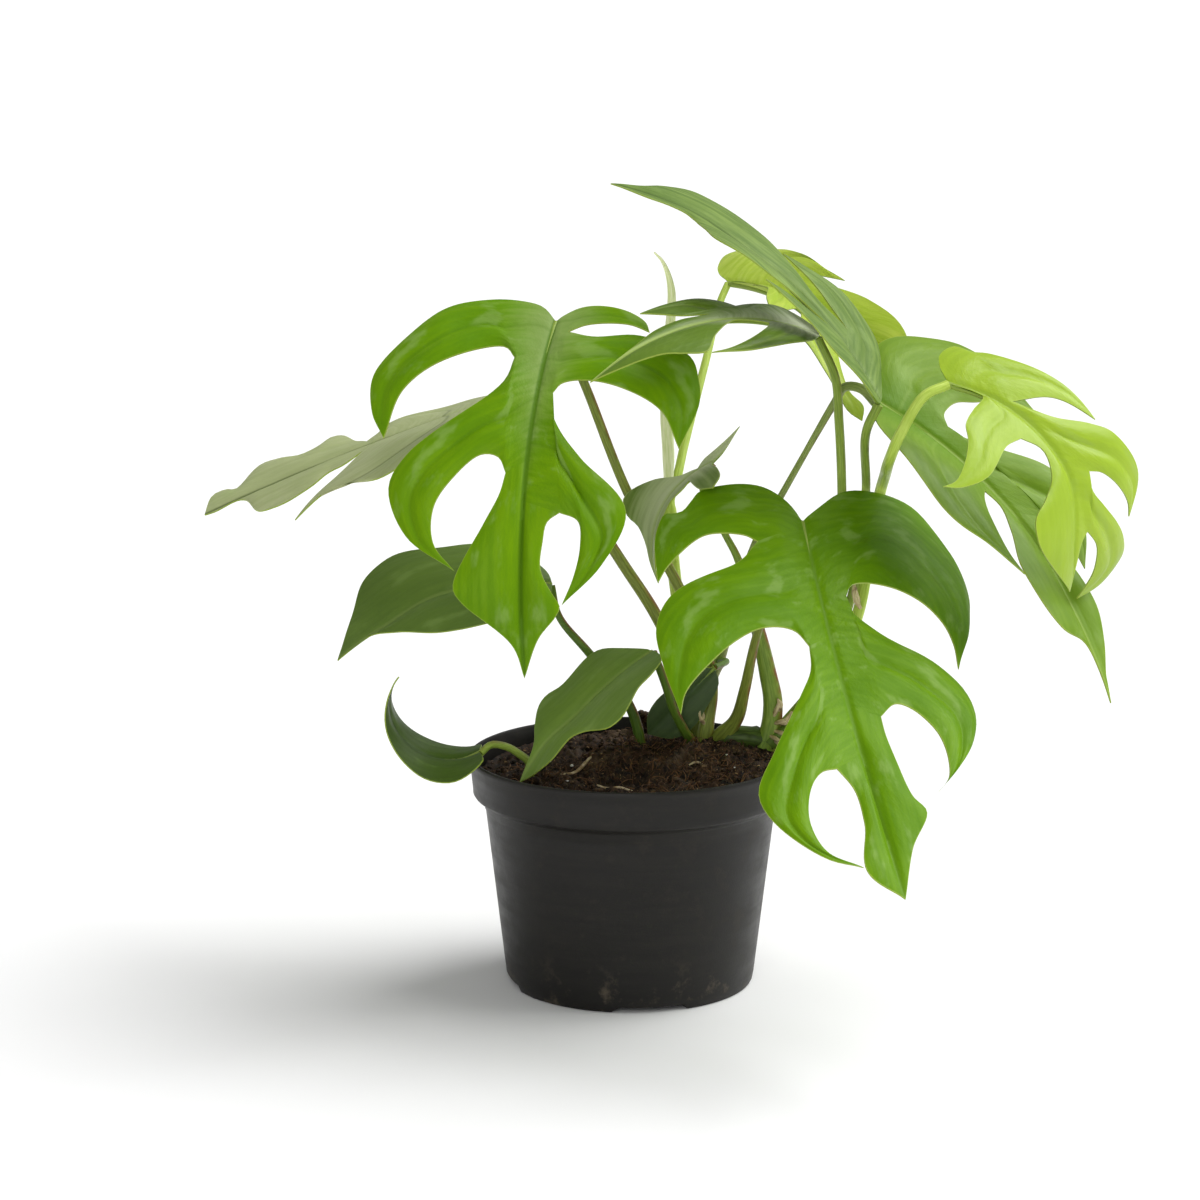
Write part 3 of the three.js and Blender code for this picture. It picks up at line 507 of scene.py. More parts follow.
def tube(bm, points, radii, sides=18, step=1.6, groove=0.0, facing=(0, -1, 0), swell=(), shape=None):
    """swell holds (millimetres along, extra radius, width) for rings and joints on the stalk"""
    rough = smooth_curve(points, 200)
    length = sum((b - a).length for a, b in zip(rough, rough[1:]))
    count = max(ceil(length / step), 4)
    frames = rolled_frames(even(rough, count), facing)
    first_face = len(bm.faces)
    turn_of = bm.verts.layers.float.get("turn") or bm.verts.layers.float.new("turn")
    along_of = bm.verts.layers.float.get("along") or bm.verts.layers.float.new("along")
    ring = bmesh.ops.create_circle(bm, cap_ends=False, segments=sides, radius=1)["verts"]
    for vert in ring:
        vert[turn_of] = atan2(vert.co.y, vert.co.x) % (2 * pi)
    edges = list({edge for vert in ring for edge in vert.link_edges})
    bottom = edges
    for i, (place, ahead, across, beside) in enumerate(frames):
        along = length * i / count
        base = radius_at(radii, i / count)
        base += sum(extra * exp(-((along - where) / width) ** 2) for where, extra, width in swell)
        if i:
            ring, edges = grow_ring(bm, edges)
            edges = [e for e in edges if all(v in ring for v in e.verts)]
        for vert in ring:
            turn = vert[turn_of]
            off = min(turn, 2 * pi - turn)
            radius = base * (1 - groove * exp(-(off / 0.45) ** 2))
            if shape:
                radius *= shape(turn, i / count)
            vert[along_of] = along
            vert.co = place + (across * cos(turn) + beside * sin(turn)) * radius
    bmesh.ops.edgeloop_fill(bm, edges=edges)
    bmesh.ops.edgeloop_fill(bm, edges=bottom)
    bm.faces.ensure_lookup_table()
    made = bm.faces[first_face:]
    bmesh.ops.recalc_face_normals(bm, faces=made)
    uv = bm.loops.layers.uv.get("stalk") or bm.loops.layers.uv.new("stalk")
    for face in made:
        turns = [loop.vert[turn_of] for loop in face.loops]
        wraps = max(turns) - min(turns) > pi
        for loop, turn in zip(face.loops, turns):
            turn += 2 * pi if wraps and turn < pi else 0
            loop[uv].uv = (loop.vert[along_of], turn / (2 * pi))

# %% [markdown]
# The skin of a stalk is a smooth green with fine darker streaks along it, paler where it is young.
# Several of these stalks have one brown, dried edge, where the sheath that held the next leaf has
# withered, so the shader mixes brown in on one side of the tube, in patches along it.

# %% Stalk material
def stalk_material(name, light, dark, brown, browning, foot=None):
    """browning is how much of the brown shows, and foot a darker colour where the stalk leaves the vine"""
    material, tree = new_material(name)
    own = node(tree, "UVMap", uv_map="stalk").outputs["UV"]
    parts = node(tree, "SeparateXYZ", {"Vector": own})
    along, round_it = parts.outputs["X"], parts.outputs["Y"]
    streaks = speckle(tree, stretch(tree, own, (0.05, 9, 1)), 2.5, 4)
    patches = speckle(tree, stretch(tree, own, (0.12, 2, 1)), 1, 3)
    skin = blend(tree, span(tree, streaks, 0.3, 0.7), light, dark)
    if foot:
        skin = blend(tree, span(tree, along, 12, 48, 1, 0), skin, foot)
    beside = maths(tree, "ABSOLUTE", maths(tree, "SUBTRACT", maths(tree, "FRACT", round_it), 0.25))
    edge = span(tree, beside, 0.05, 0.2, browning, 0)
    skin = blend(tree, maths(tree, "MULTIPLY", edge, span(tree, patches, 0.35, 0.6)), skin, brown)
    relief = bump(tree, streaks, 0.0002, 0.4)
    shader = node(tree, "BsdfPrincipled", {"Base Color": skin, "Normal": relief, "Specular IOR Level": 0.25,
                                           "Roughness": span(tree, patches, 0.3, 0.7, 0.34, 0.5)})
    output(tree, shader.outputs["BSDF"])
    return material


BROWN = colour(104, 66, 42)
GREEN_STALK = stalk_material("green_stalk", colour(150, 172, 74), colour(118, 142, 50), BROWN, 0.5)
DEEP_STALK = stalk_material("deep_stalk", colour(98, 128, 40), colour(70, 98, 26), colour(120, 62, 40), 0.9)
OLIVE_STALK = stalk_material("olive_stalk", colour(136, 150, 62), colour(104, 112, 42), colour(126, 66, 44),
                             0.8)
EDGED_STALK = stalk_material("edged_stalk", colour(140, 164, 66), colour(106, 134, 42), colour(128, 66, 42),
                             1.0)
LIME_STALK = stalk_material("lime_stalk", colour(188, 210, 96), colour(160, 186, 66), BROWN, 0,
                            foot=colour(92, 118, 42))
PALE_STALK = stalk_material("pale_stalk", colour(150, 166, 92), colour(112, 130, 62), BROWN, 0.6)
DARK_STALK = stalk_material("dark_stalk", colour(84, 106, 42), colour(54, 70, 26), BROWN, 0.5)

# %% [markdown]
# The mix is full of coconut fibre: short, stiff, curly hairs that lie over the peat in all directions and
# stand up in a tangle in front of the stems. Three pale, dead root ends lie among them. All are thin
# tubes with few sides.

# %% Fibres and roots
def strand_material(name, light, dark):
    material, tree = new_material(name)
    own = node(tree, "UVMap", uv_map="stalk").outputs["UV"]
    tone = speckle(tree, node(tree, "TexCoord").outputs["Object"], 160, 2)
    streaks = speckle(tree, stretch(tree, own, (0.5, 4, 1)), 1, 2)
    skin = blend(tree, span(tree, maths(tree, "ADD", tone, streaks), 0.8, 1.15), light, dark)
    shader = node(tree, "BsdfPrincipled", {"Base Color": skin, "Specular IOR Level": 0.2,
                                           "Roughness": span(tree, streaks, 0.3, 0.7, 0.6, 0.8)})
    output(tree, shader.outputs["BSDF"])
    return material


CURL = 0.7                    # spread of a fibre's turn, in radians, at each of its four bends
FIBRE_REACH = 53              # how far from the pot's axis a fibre may lie


def strand(bm, x, y, length, radius, lift):
    heading = chance.uniform(0, 2 * pi)
    line = []
    for k in range(4):
        heading += chance.gauss(0, CURL)
        x, y = x + cos(heading) * length / 4, y + sin(heading) * length / 4
        shrink = min(1, FIBRE_REACH / max(hypot(x, y), 1))
        x, y = x * shrink, y * shrink
        line.append(on_peat(x, y, radius + lift * chance.random()))
    one = bmesh.new()
    tube(one, line, [radius * 0.6, radius, radius * 0.5], sides=5, step=length / 9)
    append(bm, one)


FIBRES = 420
TANGLES = [(14, -14, 15), (30, -8, 14), (-6, -8, 16), (2, 12, 14), (36, -26, 14), (-30, -14, 14),
           (14, -40, 18)]         # x, y and spread
fibres = bmesh.new()
for k in range(FIBRES):
    tangled = k % 3 > 0
    if tangled:
        x, y, spread = TANGLES[k % len(TANGLES)]
        x, y = chance.gauss(x, spread / 2), chance.gauss(y, spread / 2)
    else:
        x, y = scatter(52)
    strand(fibres, x, y, chance.uniform(4, 13), chance.uniform(0.1, 0.24), 2.6 if tangled else 1.2)
COIR = strand_material("coco_fibre", colour(112, 80, 52), colour(54, 37, 24))
finish(fibres, "coco_fibres", [COIR], ["soil"], sharp=50)

roots = bmesh.new()
for route, radii in [
    ([(-25.5, -15), (-20.5, -12), (-16.5, -7), (-13.7, -3)], [0.35, 0.6, 0.75, 0.5]),
    ([(21.5, -15.5), (24, -14.5), (26.5, -14)], [0.3, 0.5, 0.3]),
    ([(-12, -31), (-8, -33), (-4, -32), (1, -34)], [0.3, 0.5, 0.45, 0.3]),
]:
    tube(roots, [on_peat(x, y, 0.9) for x, y in route], radii, sides=8, step=1)
ROOT_END = strand_material("dead_root", colour(196, 178, 146), colour(140, 116, 84))
finish(roots, "dead_roots", [ROOT_END], ["soil"], sharp=50)

# %% [markdown]
# A blade is first drawn flat, with its midrib up the page, and then bent. The flat outline holds what a
# botanist would measure: how far out and how far along each lobe's tip is, and where the slit beside it
# ends. The bending is a few angles: the midrib's heading, pitch and roll where the stalk joins, its droop
# and twist towards the tip, and on each side the fold at the midrib and the arch out to the edge. In an
# outline, each pair of numbers is how far out from the midrib's line and how far along it a point lies.
# "over" is a lobe's edge towards the stalk, "under" its edge towards the leaf's tip, and "sinus" the end
# of the slit after it.

# %% Bending a flat blade
def blade_frame(leaf):
    heading, pitch, roll = (radians(leaf[k]) for k in ("heading", "pitch", "roll"))
    along = Vector((cos(pitch) * cos(heading), cos(pitch) * sin(heading), sin(pitch)))
    level = Vector((sin(heading), -cos(heading), 0))
    lift = level.cross(along)
    across = level * cos(roll) - lift * sin(roll)
    up = level * sin(roll) + lift * cos(roll)
    return along, across, up, Vector(leaf["base"])


def spine_x(leaf, y):
    """How far the line that the blade bends along bows to the side"""
    t = y / leaf["length"]
    return 4 * leaf["bow"] * t * (1 - t) if t > 0 else 0


def rib_x(leaf, y):
    """The midrib, which may leave that line where the end lobe turns aside"""
    return spine_x(leaf, y) + leaf.get("sweep", 0) * ease(y / leaf["length"], 0.5, 0.8)


ARCH_REACH = 55               # how far out from the midrib a blade has turned by its arch angle


def bend_blade(leaf):
    along, across, up, base = blade_frame(leaf)
    length = leaf["length"]
    droop = radians(leaf["droop"]) or 1e-6
    fold = radians(leaf["fold"])

    def place(x, y):
        t = max(y / length, 0)
        middle = spine_x(leaf, y)
        side = x - middle
        arch = radians(leaf["arch_right"] if side > 0 else leaf["arch_left"]) / ARCH_REACH or 1e-6
        out = abs(side)
        flat_out = (sin(fold) - sin(fold - arch * out)) / arch * (1 if side > 0 else -1)
        rise = (cos(fold - arch * out) - cos(fold)) / arch
        bend, twist = droop * t, radians(leaf["twist"]) * t
        turned_out = flat_out * cos(twist) + rise * sin(twist)
        turned_up = rise * cos(twist) - flat_out * sin(twist)
        forward = length * sin(bend) / droop if y > 0 else y
        sink = length * (1 - cos(bend)) / droop if y > 0 else 0
        return (base + across * (middle + turned_out) + along * (forward + turned_up * sin(bend))
                + up * (turned_up * cos(bend) - sink))

    def upward(x, y):
        """Straight up out of the blade"""
        over = place(x + 0.6, y) - place(x - 0.6, y)
        ahead = place(x, y + 0.6) - place(x, y - 0.6)
        return over.cross(ahead).normalized()

    return place, upward

# %% [markdown]
# Each lobe is a ladder of quads. Its rungs start at the midrib, cross the narrow web to the slits on each
# side, and run on to the lobe's tip, so the rows of quads follow the lobe as its veins do. The surface is
# given its relief on the way: the midrib and each lobe's own vein are sunk, the skin between them is
# puffed up, and the edges ripple.

# %% Blade patches
WEB_COLUMNS = 12
LOBE_COLUMNS = 40
RIB_STEP = 1.7
SLAB = 0.5                    # thickness of a blade
RIB_GROOVE = 0.75
VEIN_GROOVE = 0.3
LAYERS = ("height", "vein", "along", "edge")


def layers_of(bm):
    """The numbers that every point of a blade carries, by name"""
    return {name: bm.verts.layers.float.get(name) for name in LAYERS}


def web_root(sinus):
    """Where along the midrib the web beside a slit starts"""
    return max(sinus[1] - 0.45 * sinus[0], 4)


def rib_stations(leaf):
    """Places along the midrib that both halves share, so that their quads meet"""
    roots = [web_root(lobe["sinus"]) for lobe in leaf["right"] + leaf["left"]]
    marks = sorted({0, leaf.get("end", leaf["length"]), *roots})
    kept = [marks[0]]
    kept += [mark for last, mark in zip(marks, marks[1:]) if mark - last > 0.5]
    stations = [0.0]
    for start, stop in zip(kept, kept[1:]):
        steps = max(ceil((stop - start) / RIB_STEP), 2)
        stations += [start + (stop - start) * k / steps for k in range(1, steps + 1)]
    return stations


def nearest(stations, y):
    return min(range(len(stations)), key=lambda k: abs(stations[k] - y))


def relief(leaf, flat, rib_reach, vein_reach, half_width, part, puff):
    """Height of the skin over the smooth blade: puffed between the veins and sunk along them"""
    c = min(abs(vein_reach) / max(half_width, 0.01), 1)
    room = min(half_width / 12, 1)
    height = leaf["puff"] * room * puff * sin(pi * c)
    height -= VEIN_GROOVE * exp(-(vein_reach / 1.8) ** 2) * puff * min(half_width / 4, 1)
    height -= RIB_GROOVE * exp(-(rib_reach / 1.3) ** 2) * (1 - 0.8 * part)
    wander = noise.noise(Vector((flat.x, flat.y, leaf["seed"])) / 21)
    return height + leaf["wave"] * wander * ease(rib_reach, 1, 14)


def lobe_patch(bm, leaf, sign, ribs, upper, lower):
    """One lobe: ribs are its points on the midrib, upper and lower its two edges from midrib to tip"""
    columns, rows = len(upper) - 1, len(ribs) - 1
    middle = max(rows // 2, 1)
    tip_length = sum((b - a).length for a, b in zip(upper, upper[1:]))
    layers = layers_of(bm)
    made = sheet(bm, columns, rows)
    for vert in made:
        column, row = round(vert.co.x * columns), round(vert.co.y * rows)
        c = row / middle - 1 if row <= middle else (row - middle) / max(rows - middle, 1)
        f = (c + 1) / 2
        flat = upper[column].lerp(lower[column], f)
        if column < WEB_COLUMNS:
            flat = flat + (ribs[row] - upper[0].lerp(lower[0], f)) * (1 - column / WEB_COLUMNS)
        half = (upper[column] - lower[column]).length / 2
        part = column / columns
        flat = Vector((sign * flat.x, flat.y))
        reach = abs(flat.x - rib_x(leaf, flat.y))
        puff = ease(part, 0.02, 0.3) * (1 - part ** 4)
        vert[layers["height"]] = relief(leaf, flat, reach, c * half, half, 0, puff)
        vert[layers["vein"]] = c * half
        vert[layers["along"]] = part * tip_length
        vert[layers["edge"]] = (1 - abs(c)) * half + max(WEB_COLUMNS - column, 0)
        vert.co = (*flat, 0)
    return made


def end_patch(bm, leaf, sign, ribs, edge):
    """The end lobe's half, from the last slit to the tip, or a whole half where there is no slit"""
    columns, rows = WEB_COLUMNS + 2, len(ribs) - 1
    layers = layers_of(bm)
    made = sheet(bm, columns, rows)
    for vert in made:
        column, row = round(vert.co.x * columns), round(vert.co.y * rows)
        flat = ribs[row].lerp(edge[row], column / columns)
        half = (edge[row] - ribs[row]).length
        part = row / rows
        puff = ease(part, 0, 0.3) * (1 - part ** 4)
        reach = half * column / columns
        flat = Vector((sign * flat.x, flat.y))
        vert[layers["height"]] = relief(leaf, flat, reach, reach, half, part, puff)
        vert[layers["vein"]] = reach
        vert[layers["along"]] = ribs[row].y
        vert[layers["edge"]] = half - reach
        vert.co = (*flat, 0)
    return made


def half_blade(bm, leaf, sign, lobes, end_edge, stations):
    """One side of the blade, with sign 1 for the right and -1 for the left"""

    def rib(y):
        return Vector((sign * rib_x(leaf, y), y))

    def web_line(y, slit):
        return [rib(y).lerp(slit, k / WEB_COLUMNS) for k in range(WEB_COLUMNS)]

    made, start, slit = [], 0, Vector((0, 0))
    for lobe in lobes:
        stop = nearest(stations, web_root(lobe["sinus"]))
        ribs = [rib(y) for y in stations[start:stop + 1]]
        next_slit = Vector(lobe["sinus"])
        outline = [slit, *lobe["over"], lobe["tip"]]
        if start == 0:
            upper = smooth_curve(outline, WEB_COLUMNS + LOBE_COLUMNS)
        else:
            upper = web_line(stations[start], slit) + smooth_curve(outline, LOBE_COLUMNS)
        under = smooth_curve([next_slit, *reversed(lobe["under"]), lobe["tip"]], LOBE_COLUMNS)
        lower = web_line(stations[stop], next_slit) + under
        made.append((sign, lobe_patch(bm, leaf, sign, ribs, upper, lower)))
        start, slit = stop, next_slit
    ribs = [rib(y) for y in stations[start:]]
    edge = smooth_curve([slit, *end_edge, ribs[-1]], len(ribs) - 1)
    made.append((sign, end_patch(bm, leaf, sign, ribs, edge)))
    return made

# %% [markdown]
# The flat patches are welded along the midrib and the webs, bent into place, and given their thickness.
# The top, the underside and the rim get a material each. A leaf's underside carries its midrib as a
# raised, rounded ridge that runs out of the stalk, so a thin tapered tube is laid along it and ends
# inside the blade.

# %% Making a blade
RIDGE = [1.15, 0.25]          # radius of the midrib below the blade, at the stalk and near the tip
RIDGE_DROP = 1.1              # how far under the blade it starts
RIDGE_SINK = 0.7              # how far under the midrib's groove it runs
TOP, UNDERSIDE, MARGIN, MIDRIB = range(4)


def blade(leaf, top, underside):
    bm = bmesh.new()
    for layer in LAYERS:
        bm.verts.layers.float.new(layer)
    stations = rib_stations(leaf)
    patches = half_blade(bm, leaf, 1, leaf["right"], leaf["right_end"], stations)
    patches += half_blade(bm, leaf, -1, leaf["left"], leaf["left_end"], stations)
    layers = layers_of(bm)
    maps = {k: bm.loops.layers.uv.new(k) for k in ("lobe", "blade", "margin")}
    for sign, made in patches:
        faces = list({face for vert in made for face in vert.link_faces})
        if sign < 0:
            bmesh.ops.reverse_faces(bm, faces=faces)
        for face in faces:
            for loop in face.loops:
                vert = loop.vert
                loop[maps["lobe"]].uv = (vert[layers["along"]], vert[layers["vein"]])
                loop[maps["blade"]].uv = (vert.co.x - rib_x(leaf, vert.co.y), vert.co.y)
                loop[maps["margin"]].uv = (vert[layers["edge"]], 0)
    bmesh.ops.remove_doubles(bm, verts=bm.verts, dist=0.03)
    flat_of = bm.verts.layers.float_vector.new("flat")
    for vert in bm.verts:
        vert[flat_of] = vert.co
    loose = [vert for vert in bm.verts if not vert.link_faces]
    bmesh.ops.delete(bm, geom=loose, context="VERTS")
    place, upward = bend_blade(leaf)
    over = {}
    for vert in bm.verts:
        x, y = vert.co.x, vert.co.y
        over[vert] = upward(x, y)
        vert.co = place(x, y) + over[vert] * vert[layers["height"]]
    grown = bmesh.ops.extrude_face_region(bm, geom=list(bm.faces), use_keep_orig=True)["geom"]
    below = {g for g in grown if isinstance(g, bmesh.types.BMVert)}
    for vert in over:
        vert.co += over[vert] * SLAB / 2
    for vert in below:
        vert.co -= upward(*vert[flat_of].xy) * SLAB / 2
    for face in bm.faces:
        low = sum(vert in below for vert in face.verts)
        face.material_index = UNDERSIDE if low == len(face.verts) else MARGIN if low else TOP
    bmesh.ops.recalc_face_normals(bm, faces=bm.faces)
    _, _, up, base = blade_frame(leaf)
    ridge = [base - up * RIDGE_DROP]
    for k in range(1, 7):
        y = leaf["length"] * k / 8
        x = rib_x(leaf, y)
        ridge.append(place(x, y) - upward(x, y) * (RIB_GROOVE + RIDGE_SINK))
    before = len(bm.faces)
    tube(bm, ridge, RIDGE, sides=8, step=2.5)
    bm.faces.ensure_lookup_table()
    for face in bm.faces[before:]:
        face.material_index = MIDRIB
    finishes = [SKINS[top], SKINS[underside], SKINS["leaf_margin"], GREEN_STALK]
    finish(bm, "blade_" + leaf["name"], finishes, ["leaf_" + leaf["name"]], sharp=60)

# %% [markdown]
# A leaf's skin is never one green. Its colour drifts in long streaks that follow each lobe, the veins and
# the midrib are paler or darker than the skin between them, side veins branch off at a slant, and a thin
# pale line runs round the margin. The skin is waxy, so its gloss is broken by a fine grain, and a little
# light comes through it from behind. Pale patches on it are painted sheen. The three UV maps made with the
# blade carry these patterns, so they bend and turn with it.

# %% Leaf material
def leaf_material(name, light, dark, vein, margin=(176, 192, 84), gloss=(0.32, 0.48), through=0.12,
                  sheen=0.25, rib_tint=None, line=0.25, pucker=0.18, streak=0.38, dust_and_sheen=0.18):
    """rib_tint is a second colour beside the midrib and round the stalk, line how strongly a lobe's vein
    shows, streak how strong the darker streaks are, pucker how uneven the skin is, and dust_and_sheen how
    much painted sheen it has"""
    material, tree = new_material(name)
    place = node(tree, "TexCoord").outputs["Object"]
    lobe = node(tree, "UVMap", uv_map="lobe").outputs["UV"]
    lobe_parts = node(tree, "SeparateXYZ", {"Vector": lobe})
    from_vein = maths(tree, "ABSOLUTE", lobe_parts.outputs["Y"])
    own = node(tree, "UVMap", uv_map="blade").outputs["UV"]
    blade_parts = node(tree, "SeparateXYZ", {"Vector": own})
    from_rib = maths(tree, "ABSOLUTE", blade_parts.outputs["X"])
    edge = node(tree, "UVMap", uv_map="margin").outputs["UV"]
    to_edge = node(tree, "SeparateXYZ", {"Vector": edge}).outputs["X"]
    streaks = speckle(tree, stretch(tree, lobe, (0.03, 0.42, 1)), 1, 4)
    clouds = speckle(tree, place, 26, 4)
    skin = blend(tree, span(tree, streaks, 0.36, 0.64, 0, streak), colour(*light), colour(*dark))
    skin = blend(tree, span(tree, clouds, 0.36, 0.68, 0, 0.5), skin, colour(*dark))
    # Painted sheen: pale patches that stand in for soft reflections on the waxy skin.
    sheen_patches = speckle(tree, stretch(tree, lobe, (0.045, 0.1, 1)), 1, 4)
    skin = blend(tree, span(tree, sheen_patches, 0.54, 0.68, 0, dust_and_sheen), skin, colour(160, 188, 110))
    # A second colour beside the midrib and round the stalk; on the centre leaf it is painted light over its
    # shaded base.
    if rib_tint:
        spread = maths(tree, "MULTIPLY", maths(tree, "ABSOLUTE", blade_parts.outputs["Y"]), 0.28)
        ragged = maths(tree, "MULTIPLY", streaks, 14)
        wide = maths(tree, "ADD", maths(tree, "ADD", from_rib, spread), ragged)
        skin = blend(tree, span(tree, wide, 9, 30, 0.75, 0), skin, colour(*rib_tint))
    wander = speckle(tree, place, 60, 2)
    slant = maths(tree, "SUBTRACT", lobe_parts.outputs["X"], maths(tree, "MULTIPLY", from_vein, 1.7))
    phase = maths(tree, "ADD", maths(tree, "MULTIPLY", slant, 1.15), maths(tree, "MULTIPLY", wander, 12))
    wave = maths(tree, "SINE", phase)
    side_veins = maths(tree, "MULTIPLY", span(tree, wave, 0.55, 1), span(tree, to_edge, 0.5, 4))
    skin = blend(tree, maths(tree, "MULTIPLY", side_veins, 0.03), skin, colour(*vein))
    on_vein = span(tree, from_vein, 0.2, 1.2, line, 0)
    on_rib = span(tree, from_rib, 0.4, 1.3, 0.85, 0)
    skin = blend(tree, maths(tree, "MAXIMUM", on_vein, on_rib), skin, colour(*vein))
    skin = blend(tree, span(tree, to_edge, 0.05, 0.4, 0.45, 0), skin, colour(*margin))
    grain = speckle(tree, place, 900, 3)
    puckers = speckle(tree, stretch(tree, lobe, (0.11, 0.2, 1)), 1, 3)
    relief = bump(tree, side_veins, 0.00003, 0.4, bump(tree, grain, 0.00002, 0.4))
    relief = bump(tree, puckers, 0.002, pucker, relief)
    rough = span(tree, maths(tree, "ADD", clouds, streaks), 0.7, 1.3, *gloss)
    wax = node(tree, "BsdfPrincipled", {"Base Color": skin, "Roughness": rough, "Normal": relief,
                                        "Specular IOR Level": sheen})
    lit = blend(tree, 0.35, skin, colour(190, 214, 40))
    glow = node(tree, "BsdfTranslucent", {"Color": lit, "Normal": relief})
    mixed = node(tree, "MixShader", {0: through, 1: wax.outputs["BSDF"], 2: glow.outputs["BSDF"]})
    output(tree, mixed.outputs["Shader"])
    return material

# %% [markdown]
# Young leaves are lime, glossy and let much light through. Leaves in full growth are a strong green, and
# the old, shaded ones are dull and dark. Undersides are paler and less glossy.

# %% Leaf skins
LEAF_SKINS = {
    "leaf_mid_green": dict(light=(107, 149, 8), dark=(73, 118, 0), vein=(96, 136, 24), sheen=0.08,
                           dust_and_sheen=0.3),
    "leaf_deep_green": dict(light=(112, 154, 8), dark=(78, 126, 2), vein=(78, 118, 16), sheen=0.08,
                            rib_tint=(138, 160, 92), dust_and_sheen=0.3),
    "leaf_fresh_green": dict(light=(122, 154, 44), dark=(96, 132, 24), vein=(140, 168, 70), sheen=0.14,
                             pucker=0.1, rib_tint=(88, 130, 16)),
    # The centre leaf's pale second colour round the stalk is painted light, brightening the base that lies in
    # shade.
    "leaf_centre_green": dict(light=(98, 126, 38), dark=(76, 106, 20), vein=(160, 182, 96), sheen=0.2,
                              rib_tint=(222, 226, 204)),
    "leaf_lime": dict(light=(180, 208, 60), dark=(156, 188, 40), vein=(170, 200, 60),
                      margin=(200, 220, 110), gloss=(0.26, 0.4), through=0.3, sheen=0.32, pucker=0.15),
    "leaf_back_lime": dict(light=(200, 216, 92), dark=(162, 190, 46), vein=(172, 196, 62),
                           margin=(204, 220, 116), gloss=(0.3, 0.44), through=0.3, streak=0.7),
    "underside_lime": dict(light=(226, 236, 140), dark=(202, 218, 104), vein=(214, 226, 120),
                           margin=(214, 228, 136), gloss=(0.4, 0.55), through=0.45),
    "leaf_grey_green": dict(light=(128, 154, 72), dark=(84, 114, 40), vein=(76, 102, 34),
                            margin=(176, 190, 116), gloss=(0.42, 0.56), through=0.15, sheen=0.2,
                            streak=0.8),
    "leaf_pale_grey": dict(light=(188, 196, 146), dark=(156, 168, 112), vein=(96, 110, 60),
                           margin=(190, 202, 140), gloss=(0.4, 0.54), through=0.2, sheen=0.2, line=0.5),
    "leaf_dusty_green": dict(light=(134, 156, 78), dark=(96, 120, 46), vein=(168, 184, 120),
                             margin=(200, 212, 144), gloss=(0.36, 0.5), rib_tint=(206, 212, 174), streak=0.8),
    "leaf_dark_green": dict(light=(100, 126, 52), dark=(78, 104, 36), vein=(116, 138, 68),
                            margin=(146, 164, 90), gloss=(0.36, 0.52), through=0.06),
    "leaf_calm_green": dict(light=(116, 144, 58), dark=(88, 116, 38), vein=(128, 152, 74),
                            margin=(156, 174, 98), gloss=(0.36, 0.52), through=0.08),
    "leaf_shade_green": dict(light=(80, 106, 30), dark=(54, 76, 20), vein=(62, 86, 26),
                             margin=(110, 130, 62), gloss=(0.36, 0.52), through=0.05),
    "leaf_stub_grey": dict(light=(84, 104, 62), dark=(58, 78, 46), vein=(70, 92, 50),
                           margin=(110, 130, 62), gloss=(0.36, 0.52), through=0.05),
    "underside_green": dict(light=(136, 166, 76), dark=(114, 146, 52), vein=(156, 180, 96),
                            gloss=(0.45, 0.6), through=0.15, sheen=0.2),
    "underside_pale": dict(light=(164, 178, 116), dark=(138, 154, 88), vein=(84, 98, 44),
                           margin=(190, 202, 140), gloss=(0.45, 0.6), through=0.2, sheen=0.2),
    # Painted light: this underside is paler than the others, to brighten the shaded base of the centre leaf.
    "underside_painted_light": dict(light=(196, 212, 140), dark=(166, 188, 100), vein=(206, 218, 156),
                            margin=(200, 212, 140), gloss=(0.45, 0.6), through=0.4, sheen=0.2),
    "underside_grey": dict(light=(196, 200, 150), dark=(170, 180, 124), vein=(76, 88, 40),
                           margin=(190, 202, 140), gloss=(0.45, 0.6), through=0.2, sheen=0.2),
    "leaf_margin": dict(light=(134, 160, 56), dark=(104, 134, 32), vein=(120, 148, 44)),
}
SKINS = {name: leaf_material(name, **skin) for name, skin in LEAF_SKINS.items()}
print("leaf skins:", len(SKINS))

# %% [markdown]
# The largest leaf leans out over the pot at the front right and hangs below the lip. Its lobes are broad
# with hair-thin tips, three on the right of the midrib and two on the left before the end lobe.

